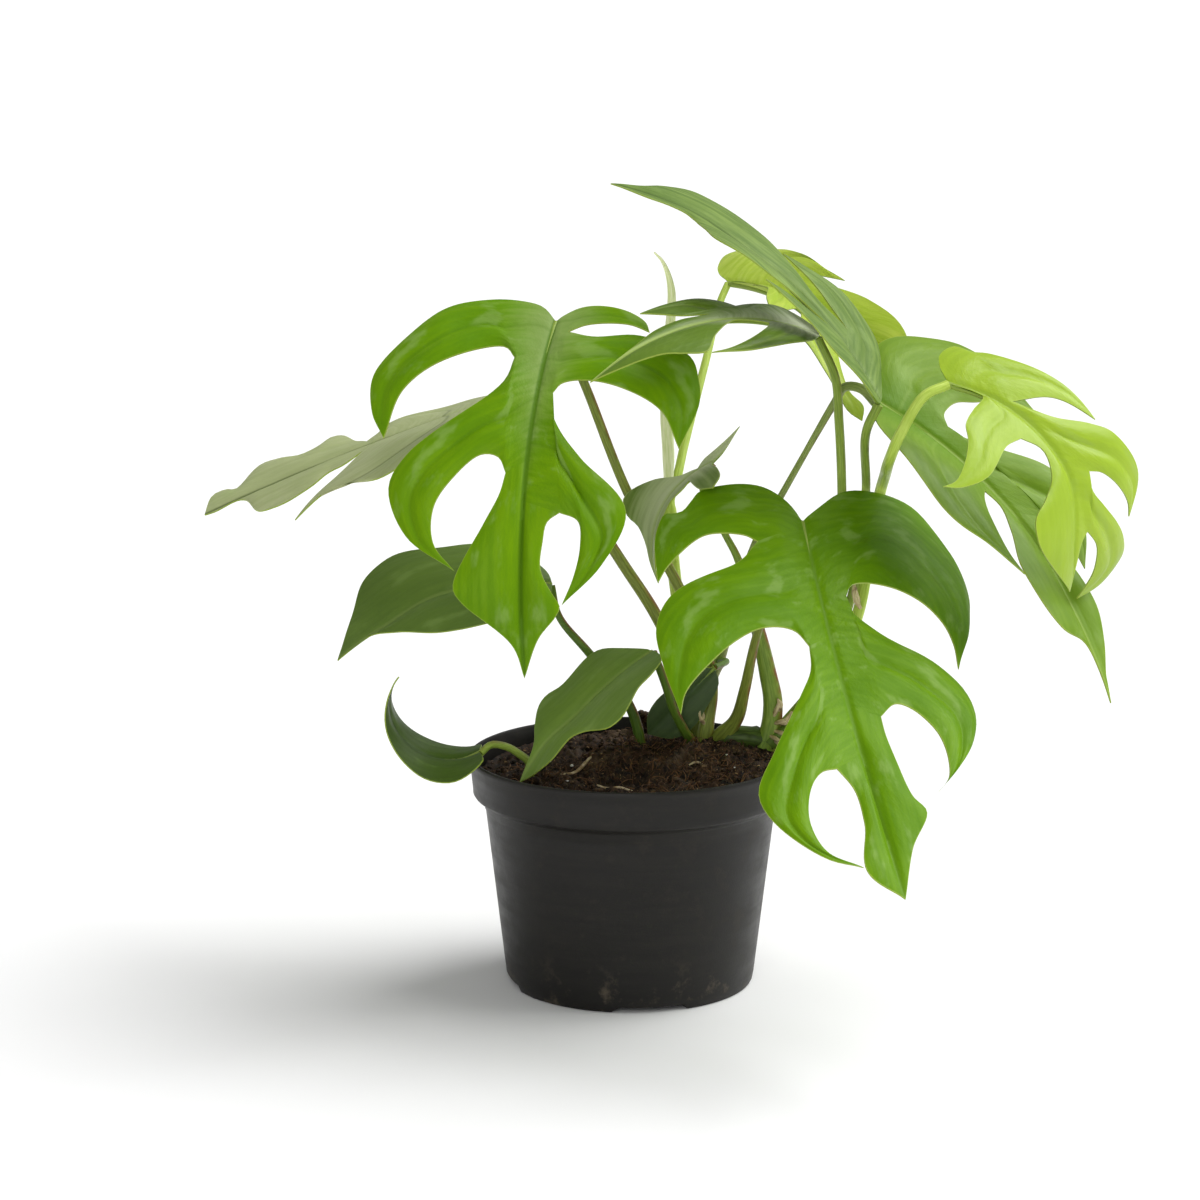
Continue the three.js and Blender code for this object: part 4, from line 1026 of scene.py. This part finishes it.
# %% Front right blade
front_right = {
    "name": "front_right", "base": [61.5, -30, 179], "heading": -76, "pitch": -30, "roll": -9, "length": 168,
    "droop": 16, "fold": 6, "arch_right": 32, "arch_left": 28, "bow": 5, "twist": 0,
    "left": [
      {"over": [[19, -17], [30, -21], [53, -22], [67, 10], [63, 32]], "tip": [46, 65],
        "under": [[48, 52], [45, 42], [28, 32], [10, 34]], "sinus": [6, 40]},
      {"over": [[6, 47], [15, 57], [44, 74], [47, 84], [42, 99], [32, 113]], "tip": [20, 126],
        "under": [[27, 117], [27, 100], [20, 91], [13, 89]], "sinus": [6, 95]},
    ],
    "left_end": [[6, 105], [10, 128], [14, 134], [6, 149]],
    "right": [
      {"over": [[5, -11], [12, -17], [27.4, -17.5], [35.2, -15.5], [40, -10], [44, -5.6], [47, -5.2],
                [50, -6], [52.3, -3.4], [56.5, 6]],
        "tip": [60.2, 28.5], "under": [[55, 22], [38, 9], [25, 10]], "sinus": [21, 14]},
      {"over": [[31, 25], [57, 36], [65, 50], [66, 68]], "tip": [64, 90],
        "under": [[60, 81], [35, 60], [26, 57.5], [18, 59.4]], "sinus": [14.2, 66]},
      {"over": [[16.2, 77], [22, 88], [36, 112], [44, 128], [40, 140], [25, 154.5]], "tip": [13.5, 157.6],
        "under": [[24.5, 152], [28.5, 140], [26, 127], [21, 120.5]], "sinus": [15.5, 119]},
    ],
    "right_end": [[10.5, 127], [9.5, 140], [12.4, 159]],
    "puff": 1.2, "wave": 1.2, "seed": 3,
}

blade(front_right, "leaf_mid_green", "underside_green")

# %% [markdown]
# The highest big leaf at the left faces forward and droops. Its middle is duller and its lobes are deep
# green.

# %% Front left blade
front_left = {
    "name": "front_left", "base": [-27, -12, 248.5], "heading": -95, "pitch": -37, "roll": -4, "length": 139,
    "droop": 44, "fold": 6, "arch_right": 24, "arch_left": 18, "bow": 5, "twist": 0,
    "left": [
      {"over": [[10, -7], [24, -6], [32, -1]], "tip": [34, 4], "under": [[26, 1], [12, 2]], "sinus": [5, 6]},
      {"over": [[14, 8], [30, 6], [49, 12], [53, 22], [54, 32]], "tip": [48, 52],
        "under": [[40, 37], [20, 29], [5, 30]], "sinus": [2, 34]},
      {"over": [[2, 41], [6, 50], [14, 60], [31, 78], [24, 98]], "tip": [11.2, 113],
        "under": [[14.5, 103], [16, 92], [14.5, 83]], "sinus": [8, 80.5]},
    ],
    "left_end": [[4, 84], [3, 91], [3, 101], [7.5, 109], [10.6, 113.4], [9.5, 117], [4, 125]],
    "right": [
      {"over": [[7, -7], [35, -7], [52, 7], [64, 24], [63, 42]], "tip": [57, 54],
        "under": [[52, 34], [34, 20], [17, 15]], "sinus": [13, 20]},
      {"over": [[16, 31], [47, 61], [53, 74], [45, 92]], "tip": [26.8, 103.5],
        "under": [[35, 94], [36, 81], [30, 70], [21, 61], [15, 61.5]], "sinus": [12, 67]},
    ],
    "right_end": [[13.5, 75], [18, 86], [27, 109], [24, 114], [5, 128]],
    "puff": 1.5, "wave": 1.2, "seed": 11,
}

blade(front_left, "leaf_deep_green", "underside_green")

# %% [markdown]
# At the top, one blade stands up and is seen edge-on with its grey-green face to the left. Behind it a
# younger lime-green blade hangs to the right, folded along its midrib.

# %% Top and back blades
top = {
    "name": "top", "base": [89.4, -23, 220.3], "heading": 154, "pitch": 59, "roll": 10, "length": 133,
    "droop": 49, "fold": 9, "arch_right": 17, "arch_left": 8, "bow": 1, "twist": -8,
    "left": [
      {"over": [[11, 0], [22, 6], [32, 20], [35, 38]], "tip": [36, 55],
        "under": [[24, 45]], "sinus": [8, 32]},
    ],
    "left_end": [[14, 48], [22, 66], [25, 79], [13.6, 88.6], [-1, 99], [-2.5, 108], [-2, 117]],
    "right": [
      {"over": [[12, 9], [25, 16], [35, 25], [39, 42], [27, 58]], "tip": [19, 67],
        "under": [[16, 46]], "sinus": [10.5, 30]},
    ],
    "right_end": [[9, 46], [17, 66], [27.8, 87], [30.5, 100], [30.5, 110], [21.6, 117.5], [12, 124]],
    "sweep": 6, "puff": 1.0, "wave": 1.0, "seed": 5,
}

back_lime = {
    "name": "back_lime", "base": [37.8, 100, 250.9], "heading": -48.7, "pitch": 2, "roll": -8, "length": 107,
    "droop": 57, "fold": 29, "arch_right": 15, "arch_left": 2, "bow": 0, "twist": 37,
    "left": [
      {"over": [[5, -10], [11.5, -17.3], [22, -22.5], [27.5, -17], [29.2, -2.2], [26.3, 10.4], [20.8, 30]],
        "tip": [20.1, 45.3], "under": [[17.5, 38]], "sinus": [15.2, 31.5]},
    ],
    "left_end": [[15, 42], [20, 60], [23, 78], [19, 92]],
    "right": [
      {"over": [[1.2, 8], [1.2, 16], [5, 26], [12, 34.5], [22, 45]], "tip": [26, 53],
        "under": [[17, 51.5], [10.3, 48.8]], "sinus": [4, 46]},
      {"over": [[10, 54], [20, 63], [18, 74], [15.6, 90], [13.4, 101]], "tip": [8.7, 105.5],
        "under": [[5.7, 99], [9.1, 93], [8.2, 84], [4, 73]], "sinus": [-2, 64]},
    ],
    "right_end": [[-4.6, 68], [-9, 73], [-9.5, 80], [-11.5, 90]],
    "sweep": -14, "end": 100, "puff": 0.9, "wave": 0.8, "seed": 17,
}

blade(top, "leaf_grey_green", "underside_pale")
blade(back_lime, "leaf_back_lime", "underside_lime")

# %% [markdown]
# Two blades reach out to the right: a long one at the back, folded in a deep V, and a young lime one in
# front of it that hangs straight down from its arch, with thin glossy skin.

# %% Right blades
back_right = {
    "name": "back_right", "base": [89.8, 1, 217.7], "heading": -34, "pitch": -28, "roll": 9, "length": 140,
    "droop": 38, "fold": 15, "arch_right": 10, "arch_left": 5, "bow": -6.6, "twist": 0,
    "left": [
      {"over": [[21, -19], [33, -18], [48, -4], [51, 16]], "tip": [48, 37],
        "under": [[40, 27], [30.6, 21.8], [24.6, 18], [19.3, 18], [15, 19.7]], "sinus": [12.2, 24]},
      {"over": [[13.2, 30], [22, 42], [33, 57], [35, 67], [29, 83]], "tip": [18, 95],
        "under": [[19, 85]], "sinus": [17, 72]},
    ],
    "left_end": [[14, 83], [14, 100], [12.9, 110], [8.4, 120.3], [2, 131]],
    "right": [
      {"over": [[10.5, 3.5], [21, 13], [30, 33], [34, 59], [27, 72]], "tip": [18, 87],
        "under": [[17.9, 77], [12.9, 64.5], [6, 56]], "sinus": [0.8, 53]},
    ],
    "right_end": [[-1.5, 60], [4.7, 70.5], [17, 86.3], [15.4, 108], [3, 118], [1.8, 129]],
    "sweep": 3, "end": 141, "puff": 1.2, "wave": 1.0, "seed": 23,
}

front_lime = {
    "name": "front_lime", "base": [111, -44, 230.7], "heading": -36, "pitch": -16, "roll": 22, "length": 102,
    "droop": 100, "fold": 8, "arch_right": 22, "arch_left": 22, "bow": -8, "twist": 0,
    "left": [
      {"over": [[5, -7], [11, -11], [18, -10], [19, -3], [22, 2], [30, 27]], "tip": [31, 45],
        "under": [[22, 30]], "sinus": [8.5, 22]},
      {"over": [[12, 29], [17, 36], [28, 45], [36, 53], [42, 71]], "tip": [32, 84],
        "under": [[32, 78], [23, 62]], "sinus": [17, 58]},
      {"over": [[15, 64], [18, 72], [28, 90], [30, 101], [20, 105]], "tip": [3, 104],
        "under": [[9, 96], [10.5, 90], [10.5, 84]], "sinus": [7, 76.5]},
    ],
    "left_end": [[2, 79], [-2.5, 86]],
    "right": [
      {"over": [[0, 4], [-2.5, 9], [-1.6, 13.8], [7, 15.5], [15.4, 18.1], [20.6, 22.9], [29.8, 28.6],
                [37, 31]],
        "tip": [42, 29.6], "under": [[37, 34], [26, 37], [10, 33]], "sinus": [2, 34]},
    ],
    "right_end": [[-3, 42], [1, 51], [9, 55.5], [18, 59], [20.5, 67], [15.7, 79.3]],
    "sweep": 8, "end": 94.5,
    "puff": 0.8, "wave": 0.9, "seed": 31,
}

blade(back_right, "leaf_fresh_green", "underside_green")
blade(front_lime, "leaf_lime", "leaf_lime")

# %% [markdown]
# In the middle, a narrow blade crosses the others on its way down to the left, and a small, newly opened
# one is still half folded, with a ribbon-like end.

# %% Middle blades
centre = {
    "name": "centre", "base": [68.5, 2, 241.5], "heading": 228, "pitch": 19.5, "roll": -23, "length": 109,
    "droop": 52, "fold": 3, "arch_right": 13, "arch_left": 19, "bow": 5, "twist": 4,
    "left": [
      {"over": [[2.5, 3.3], [10, 14], [15.3, 27.6], [18.3, 50.8]], "tip": [14.8, 67.2],
        "under": [[14.8, 59.4], [11.5, 47.4], [4, 33]], "sinus": [0.2, 28.4]},
    ],
    "left_end": [[-2.4, 36], [-2.7, 43.4], [5.4, 58.4], [13.6, 69], [11, 75.6], [7, 81.3], [4.6, 88.7],
                 [2.5, 99]],
    "right": [
      {"over": [[10, -6], [18, -4], [17, 12], [11, 30], [17, 36.5], [20.5, 44.8], [20.8, 58]],
        "tip": [20.5, 72], "under": [[15.5, 66], [11.4, 60]], "sinus": [8.9, 50]},
    ],
    "right_end": [[8.9, 56], [9.3, 62.2], [7.9, 74.8], [4.6, 86], [2, 98]],
    "puff": 0.6, "wave": 0.5, "seed": 37,
}

small_centre = {
    "name": "small_centre", "base": [29.5, -6, 196.2], "heading": -139, "pitch": -30, "roll": 0, "length": 51,
    "droop": 56, "fold": 22, "arch_right": 33, "arch_left": 35, "bow": 8.4, "twist": 7,
    "left": [
      {"over": [[6, 4], [14, 7.2], [19.5, 11]], "tip": [21, 16],
        "under": [[14, 16.8], [7, 14.8]], "sinus": [1.4, 12.5]},
    ],
    "left_end": [[1.5, 16.5], [-1.5, 21], [-1.3, 27], [-0.8, 40]],
    "right": [
      {"over": [[0.6, -8]], "tip": [3.6, -20], "under": [[3.2, -10]], "sinus": [3.6, 4.5]},
    ],
    "right_end": [[8, 10], [17, 15], [25.5, 24], [20.9, 29.8], [14.5, 32.6], [9, 38], [5.1, 44.3]],
    "puff": 0.5, "wave": 0.5, "seed": 41,
}

# The centre leaf's underside skin is painted light.
blade(centre, "leaf_centre_green", "underside_painted_light")
blade(small_centre, "leaf_dusty_green", "underside_green")

# %% [markdown]
# The far left blade shows a pale grey face with a dark midrib, and its edges curl. The oldest leaves
# are low and uncut, in the shade of the rest: one at the left, one that hangs over the lip at the front,
# one that curves over the lip at the left, and a stub of one deep among the stalks.

# %% Left and low blades
far_left = {
    "name": "far_left", "base": [-41, 15, 219], "heading": 175, "pitch": -18, "roll": 4, "length": 128,
    "droop": 8, "fold": 2, "arch_right": 14, "arch_left": 14, "bow": 0, "twist": -27,
    "left": [
      {"over": [[12, -4], [30, 4], [44, 26], [46, 50], [35, 66], [32, 73]], "tip": [41, 88],
        "under": [[30, 79], [21, 70]], "sinus": [8, 61]},
    ],
    "left_end": [[13, 69], [13.5, 75], [19.6, 82], [23, 91], [22, 98], [18.5, 104.5], [4, 110.5], [0.5, 115],
                 [1.5, 123]],
    "right": [
      {"over": [[14, -4], [26, 6], [28, 24], [27, 42]], "tip": [18, 56],
        "under": [[11, 57]], "sinus": [4, 61]},
    ],
    "right_end": [[12, 66], [27, 73.5], [29.8, 77.8], [20.6, 82.3], [16.5, 89], [20.6, 97.6], [23.6, 105],
                  [9, 115], [12.5, 119], [12, 124]],
    "puff": 1.0, "wave": 1.5, "seed": 59,
}

left_dark = {
    "name": "left_dark", "base": [-29, 12, 148], "heading": 204, "pitch": 1, "roll": -25, "length": 86,
    "droop": 35, "fold": 4, "arch_right": 10, "arch_left": 10, "bow": 6, "twist": 0,
    "left": [],
    "left_end": [[11, 6], [17, 19], [18.7, 33], [15, 49], [6, 63.5], [1, 73]],
    "right": [],
    "right_end": [[7, 0], [19, 6], [28, 20], [31, 34], [34.8, 50], [32.5, 58], [27, 66], [13.5, 74.7]],
    "sweep": -4, "end": 87, "puff": 0.9, "wave": 0.8, "seed": 43,
}

rim_front = {
    "name": "rim_front", "base": [8, -8, 127], "heading": -148, "pitch": -25, "roll": -3, "length": 70,
    "droop": 30, "fold": 8, "arch_right": 0, "arch_left": 10, "bow": 1, "twist": 0,
    "left": [],
    "left_end": [[13, 4], [17, 12], [18.5, 19], [23.5, 27], [26, 33.2], [24, 38.6], [11.3, 43.6], [6.7, 47.5],
                 [6, 58], [0.5, 65.5]],
    "right": [],
    "right_end": [[11, 6], [18, 11], [19.6, 16], [18.3, 31], [20.3, 37], [19.3, 42], [13.8, 49.6], [8.3, 56]],
    "sweep": 4, "puff": 0.8, "wave": 0.8, "seed": 47,
}

rim_left = {
    "name": "rim_left", "base": [-55.3, -20, 91.6], "heading": 168, "pitch": -32, "roll": -17, "length": 58,
    "droop": -160, "fold": -6, "arch_right": 20, "arch_left": 22, "bow": 1, "twist": -7,
    "left": [],
    "left_end": [[8, -2], [11.5, 3], [13.8, 8.8], [13.8, 13.5], [12.9, 19], [10.4, 26], [8, 33], [6, 39.7],
                 [3.3, 47]],
    "right": [],
    "right_end": [[6, 0], [9, 5], [13, 13], [15, 22], [12, 34], [6, 47]],
    "puff": 0.5, "wave": 0.4, "seed": 53,
}

low_small = {
    "name": "low_small", "base": [31.4, 9, 116.4], "heading": 182, "pitch": -46, "roll": -88, "length": 36,
    "droop": 10, "fold": 4, "arch_right": 10, "arch_left": 10, "bow": 0, "twist": 0,
    "left": [],
    "left_end": [[5, 3], [8, 12], [10, 22], [8, 30]],
    "right": [],
    "right_end": [[4, 4], [6, 14], [7, 24], [5, 31]],
    "puff": 0.3, "wave": 0.3, "seed": 61,
}

blade(far_left, "leaf_pale_grey", "underside_grey")
blade(left_dark, "leaf_dark_green", "underside_green")
blade(rim_front, "leaf_calm_green", "underside_green")
blade(rim_left, "leaf_shade_green", "underside_green")
blade(low_small, "leaf_stub_grey", "leaf_stub_grey")

# %% [markdown]
# The vine creeps along the peat as a thick, ringed green rhizome, and the stalks rise from it in two
# clumps. Each stalk tapers on its way up, and some have a swollen joint. A stalk ends against the ridge
# under its blade.

# %% Vine and stalks
STALK_DROP = 1.2              # how far under the blade a stalk ends


def stalk(leaf, route, radii, skin, node_name="vine", **shape):
    """A tube from the vine or the peat to just under the base of its leaf"""
    _, _, up, base = blade_frame(leaf)
    bm = bmesh.new()
    tube(bm, [*route, base - up * STALK_DROP], radii, **shape)
    finish(bm, "stalk_of_" + leaf["name"], [skin], [node_name], sharp=70)


bm = bmesh.new()
tube(bm, [[22, 16, 84], [25, 15, 85], [33, 13, 88], [42, 11, 89.3], [51.5, 9, 88.5], [54, 8.6, 87.5]],
     [2.5, 3.4, 4.4, 4.6, 4.4, 3.4], sides=28, swell=[(9, 0.5, 0.8), (17, 0.5, 0.8), (26, 0.6, 0.8)])
finish(bm, "rhizome", [DARK_STALK], ["vine"], sharp=70)

stalk(front_right, [[33, 12, 88], [39.4, 8, 97], [42.2, 0, 110.1], [46.6, -12, 135.2], [54.8, -22, 159.4]],
      [3, 2.1, 1.6, 1.5, 1.9], OLIVE_STALK, groove=0.2, swell=[(3, 0.8, 4)])
stalk(front_left, [[27, 12, 74], [27.9, 12, 90], [30.5, 13, 107], [26.6, 14, 126], [18, 13, 146],
                   [-1.4, 6, 183.5], [-17.4, -5, 226]],
      [2.6, 2.2, 2, 1.8, 1.7, 1.6], OLIVE_STALK, groove=0.2, swell=[(18, 0.6, 5)])
stalk(far_left, [[25, 18, 74], [25, 18, 88.6], [20.8, 19, 109.6], [9.5, 19, 134.4], [-3.8, 18, 155.5],
                 [-26.2, 18, 191]],
      [2.5, 2.4, 2.3, 2.1, 1.8, 1.6], OLIVE_STALK, groove=0.2, swell=[(18, 0.4, 5)])
stalk(back_right, [[24, 23, 74], [24, 30, 88], [26.5, 34, 98], [33, 35, 114.5], [38.6, 31, 134],
                   [47.2, 24, 162.4], [56.1, 20, 180], [74.9, 13, 215.6], [78.3, 9, 221.7], [84.2, 5, 221.5]],
      [3.2, 3.2, 3, 1.9, 1.5, 1.3, 1.2, 1.5, 2], PALE_STALK, swell=[(43, 0.7, 1.2), (30, 0.4, 1)])
stalk(back_lime, [[23, 22, 72], [22.5, 22, 85.7], [20.1, 23, 120], [15.9, 27, 153], [14.3, 28, 175.7],
                  [17.3, 35, 183.7], [20.1, 45, 194.3], [29.2, 76, 224.5], [34.5, 94, 243]],
      [2.6, 2.5, 2.4, 2.5, 1.7, 1.6, 1.5, 1.4], LIME_STALK, swell=[(101, 0.9, 2.2), (48, 0.3, 1.2)])
stalk(top, [[52, 9.5, 88], [58, 11.5, 93], [63.4, 12, 97.8], [71.4, 12, 111], [77.1, 11, 126.7],
            [84.6, 7, 157.7], [86, 2, 184], [84.4, -21, 210.4]],
      [2.4, 2, 1.7, 1.6, 1.6, 1.6, 1.7], GREEN_STALK)
stalk(centre, [[52, 12, 88], [60, 12.5, 97], [67.7, 12, 107.4], [74.2, 12, 122.7], [77.6, 10, 142],
               [77.6, 8, 183], [76, 6, 210.3], [74.3, 4, 226]],
      [2.4, 2, 1.8, 1.7, 1.7, 1.7, 1.5], GREEN_STALK)
stalk(front_lime, [[52, 7, 88], [60, 6, 95], [67.4, 4, 104.5], [76.6, 2, 121], [83.8, 2, 138.8],
                   [88.5, 6, 165.1], [91.7, 9, 182.5], [92.6, 0, 190], [91.9, -38, 203.5], [94.5, -46, 212.6],
                   [102.4, -47, 226]],
      [2.6, 2.3, 2.2, 2.1, 2.1, 2, 1.8], LIME_STALK, groove=0.15)
stalk(small_centre, [[50, 8.5, 86], [52.5, 9, 94.7], [53, 9, 104.3], [51.1, 9, 114.2], [48.2, 8, 127.3],
                     [39.6, 4, 158.2], [34.4, 2, 168.6], [26, -3, 186.5]],
      [4, 3.6, 2.9, 2, 1.4, 1.1, 1.1], EDGED_STALK, groove=0.15)
stalk(rim_front, [[25, 12, 76], [22.8, 9, 88], [19.9, 4, 93.9], [15.4, -1, 104.2], [13.1, -4, 112.4]],
      [2, 1.8, 1.6, 1.5], DEEP_STALK, groove=0.15)
stalk(low_small, [[32.6, 35, 113.5], [36, 22, 116]], [1.3, 1.2], DEEP_STALK)
stalk(left_dark, [[4.5, 10, 72], [4, 10, 86.3], [-0.5, 10, 102], [-15.1, 10, 121.4], [-26.6, 10, 135.8]],
      [2.2, 2, 1.8, 1.5, 1.2], DEEP_STALK, "stalk_left_dark", groove=0.15)
stalk(rim_left, [[-35.5, -12.5, 72], [-37.2, -13, 85.4], [-40.8, -14, 89], [-45.2, -15, 91.9],
                 [-51, -17, 93.2]],
      [1.6, 1.5, 1.4, 1.3], GREEN_STALK, "stalk_rim_left")

# %% [markdown]
# Where each older leaf left its sheath, the sheath has dried to a papery, straw-coloured curl that still
# clings to the joint. Each is a short, tapered tube, pressed almost flat.

# %% Dry sheaths
def straw_material():
    material, tree = new_material("dry_sheath")
    own = node(tree, "UVMap", uv_map="stalk").outputs["UV"]
    streaks = speckle(tree, stretch(tree, own, (0.1, 7, 1)), 1.5, 4)
    blotches = speckle(tree, node(tree, "TexCoord").outputs["Object"], 300, 3)
    skin = blend(tree, span(tree, streaks, 0.35, 0.65), colour(214, 202, 156), colour(160, 136, 92))
    skin = blend(tree, span(tree, blotches, 0.55, 0.7, 0, 0.8), skin, colour(104, 74, 48))
    shader = node(tree, "BsdfPrincipled", {"Base Color": skin, "Normal": bump(tree, streaks, 0.0003, 0.6),
                                           "Roughness": span(tree, blotches, 0.3, 0.7, 0.6, 0.8)})
    output(tree, shader.outputs["BSDF"])
    return material


SHEATHS = [
    [(53.5, 7, 99), (55.5, 5, 103.5), (54.6, 3.5, 106)],
    [(54, 7, 96), (58, 4, 97.5), (60, 4.5, 101)],
    [(54, 6.8, 93), (58.5, 3.5, 92), (60.5, 3.5, 95)],
    [(52.5, 6.5, 91), (56, 2.5, 89.5), (58.5, 2.5, 91)],
    [(84.5, 1, 141), (82.5, -0.5, 146), (82, -1.5, 150.5)],
    [(27.8, 32, 101), (30, 29.5, 104), (30, 28.5, 107)],
    [(27.5, 11, 95), (26.3, 9.2, 99), (27, 8.8, 102)],
]
SHEATH_RADII = [1.3, 1.7, 1.2, 0.4]


def pressed(turn, part):
    return 0.2 + 0.8 * abs(cos(turn + 2 * part))


scraps = bmesh.new()
for route in SHEATHS:
    tube(scraps, route, SHEATH_RADII, sides=14, step=0.7, shape=pressed)
finish(scraps, "dry_sheaths", [straw_material()], ["vine"], sharp=70)

# %% [markdown]
# The newest leaf is still rolled into a spear. A rolled sheet ends in an edge that lies on the turn below
# it, so the tube's radius grows once round and drops at that seam, and the seam winds a little as it
# climbs.

# %% Rolled leaf
def rolled(turn, part):
    wound = (turn + 1.9 + 0.9 * part) % (2 * pi) / (2 * pi)
    return 0.9 + 0.2 * wound * ease(1 - wound, 0, 0.06)


def spear_material():
    material, tree = new_material("rolled_leaf_pale")
    own = node(tree, "UVMap", uv_map="stalk").outputs["UV"]
    streaks = speckle(tree, stretch(tree, own, (0.04, 7, 1)), 2, 4)
    skin = blend(tree, span(tree, streaks, 0.3, 0.7), colour(240, 244, 200), colour(208, 222, 144))
    shader = node(tree, "BsdfPrincipled", {"Base Color": skin, "Normal": bump(tree, streaks, 0.0002, 0.4),
                                           "Roughness": span(tree, streaks, 0.3, 0.7, 0.3, 0.42)})
    output(tree, shader.outputs["BSDF"])
    return material


bm = bmesh.new()
tube(bm, [[13.9, 25.2, 178], [13.8, 19, 194.5], [12.9, 15, 212], [13.2, 12, 231.2], [14.5, 9, 257.5],
          [11.5, 8, 267.4], [8.3, 8, 271]],
     [1.4, 2.3, 2.4, 2.2, 2, 1.5, 0.3], sides=48, step=1.2, shape=rolled)
finish(bm, "rolled_leaf", [spear_material()], ["new_leaf"], sharp=60)

# %% [markdown]
# The plant stands on a seamless white sheet, under a large soft light from its right and a little behind,
# a panel in front that fills the shade, and the even light of a white room. The sheet is bright enough to
# show almost pure white, with one soft shadow to the left of the pot.

# %% Studio
def stage_material():
    material, tree = new_material("white_sheet")
    shader = node(tree, "BsdfPrincipled", {"Base Color": (0.86, 0.86, 0.86, 1), "Roughness": 0.9,
                                           "Specular IOR Level": 0.1})
    output(tree, shader.outputs["BSDF"])
    return material


SHEET_HALF = 60               # metres
ground = bmesh.new()
bmesh.ops.create_grid(ground, x_segments=1, y_segments=1, size=SHEET_HALF)
mesh = bpy.data.meshes.new("floor")
ground.to_mesh(mesh)
ground.free()
floor = bpy.data.objects.new("floor", mesh)
mesh.materials.append(stage_material())
scene.collection.objects.link(floor)

ROOM_LIGHT = 0.38
SOFTBOX = {"light": 3.8, "spread": radians(58), "towards": Vector((-0.64, -0.14, -0.77))}
PANEL = {"light": 12, "size": 1.2, "place": Vector((-0.3, -2.2, 1.0)), "towards": Vector((0, 0, 0.15))}
world = bpy.data.worlds.new("white_room")
world.use_nodes = True
world.node_tree.nodes["Background"].inputs["Color"].default_value = (1, 1, 1, 1)
world.node_tree.nodes["Background"].inputs["Strength"].default_value = ROOM_LIGHT
scene.world = world

sun = bpy.data.lights.new("softbox", "SUN")
sun.energy = SOFTBOX["light"]
sun.angle = SOFTBOX["spread"]
lamp = bpy.data.objects.new("softbox", sun)
lamp.rotation_euler = SOFTBOX["towards"].to_track_quat("-Z", "Y").to_euler()
scene.collection.objects.link(lamp)

panel = bpy.data.lights.new("front_panel", "AREA")
panel.energy = PANEL["light"]
panel.size = PANEL["size"]
front = bpy.data.objects.new("front_panel", panel)
front.location = PANEL["place"]
front.rotation_euler = (PANEL["towards"] - PANEL["place"]).to_track_quat("-Z", "Y").to_euler()
scene.collection.objects.link(front)
scene.view_settings.view_transform = "Standard"
scene.view_settings.look = "None"
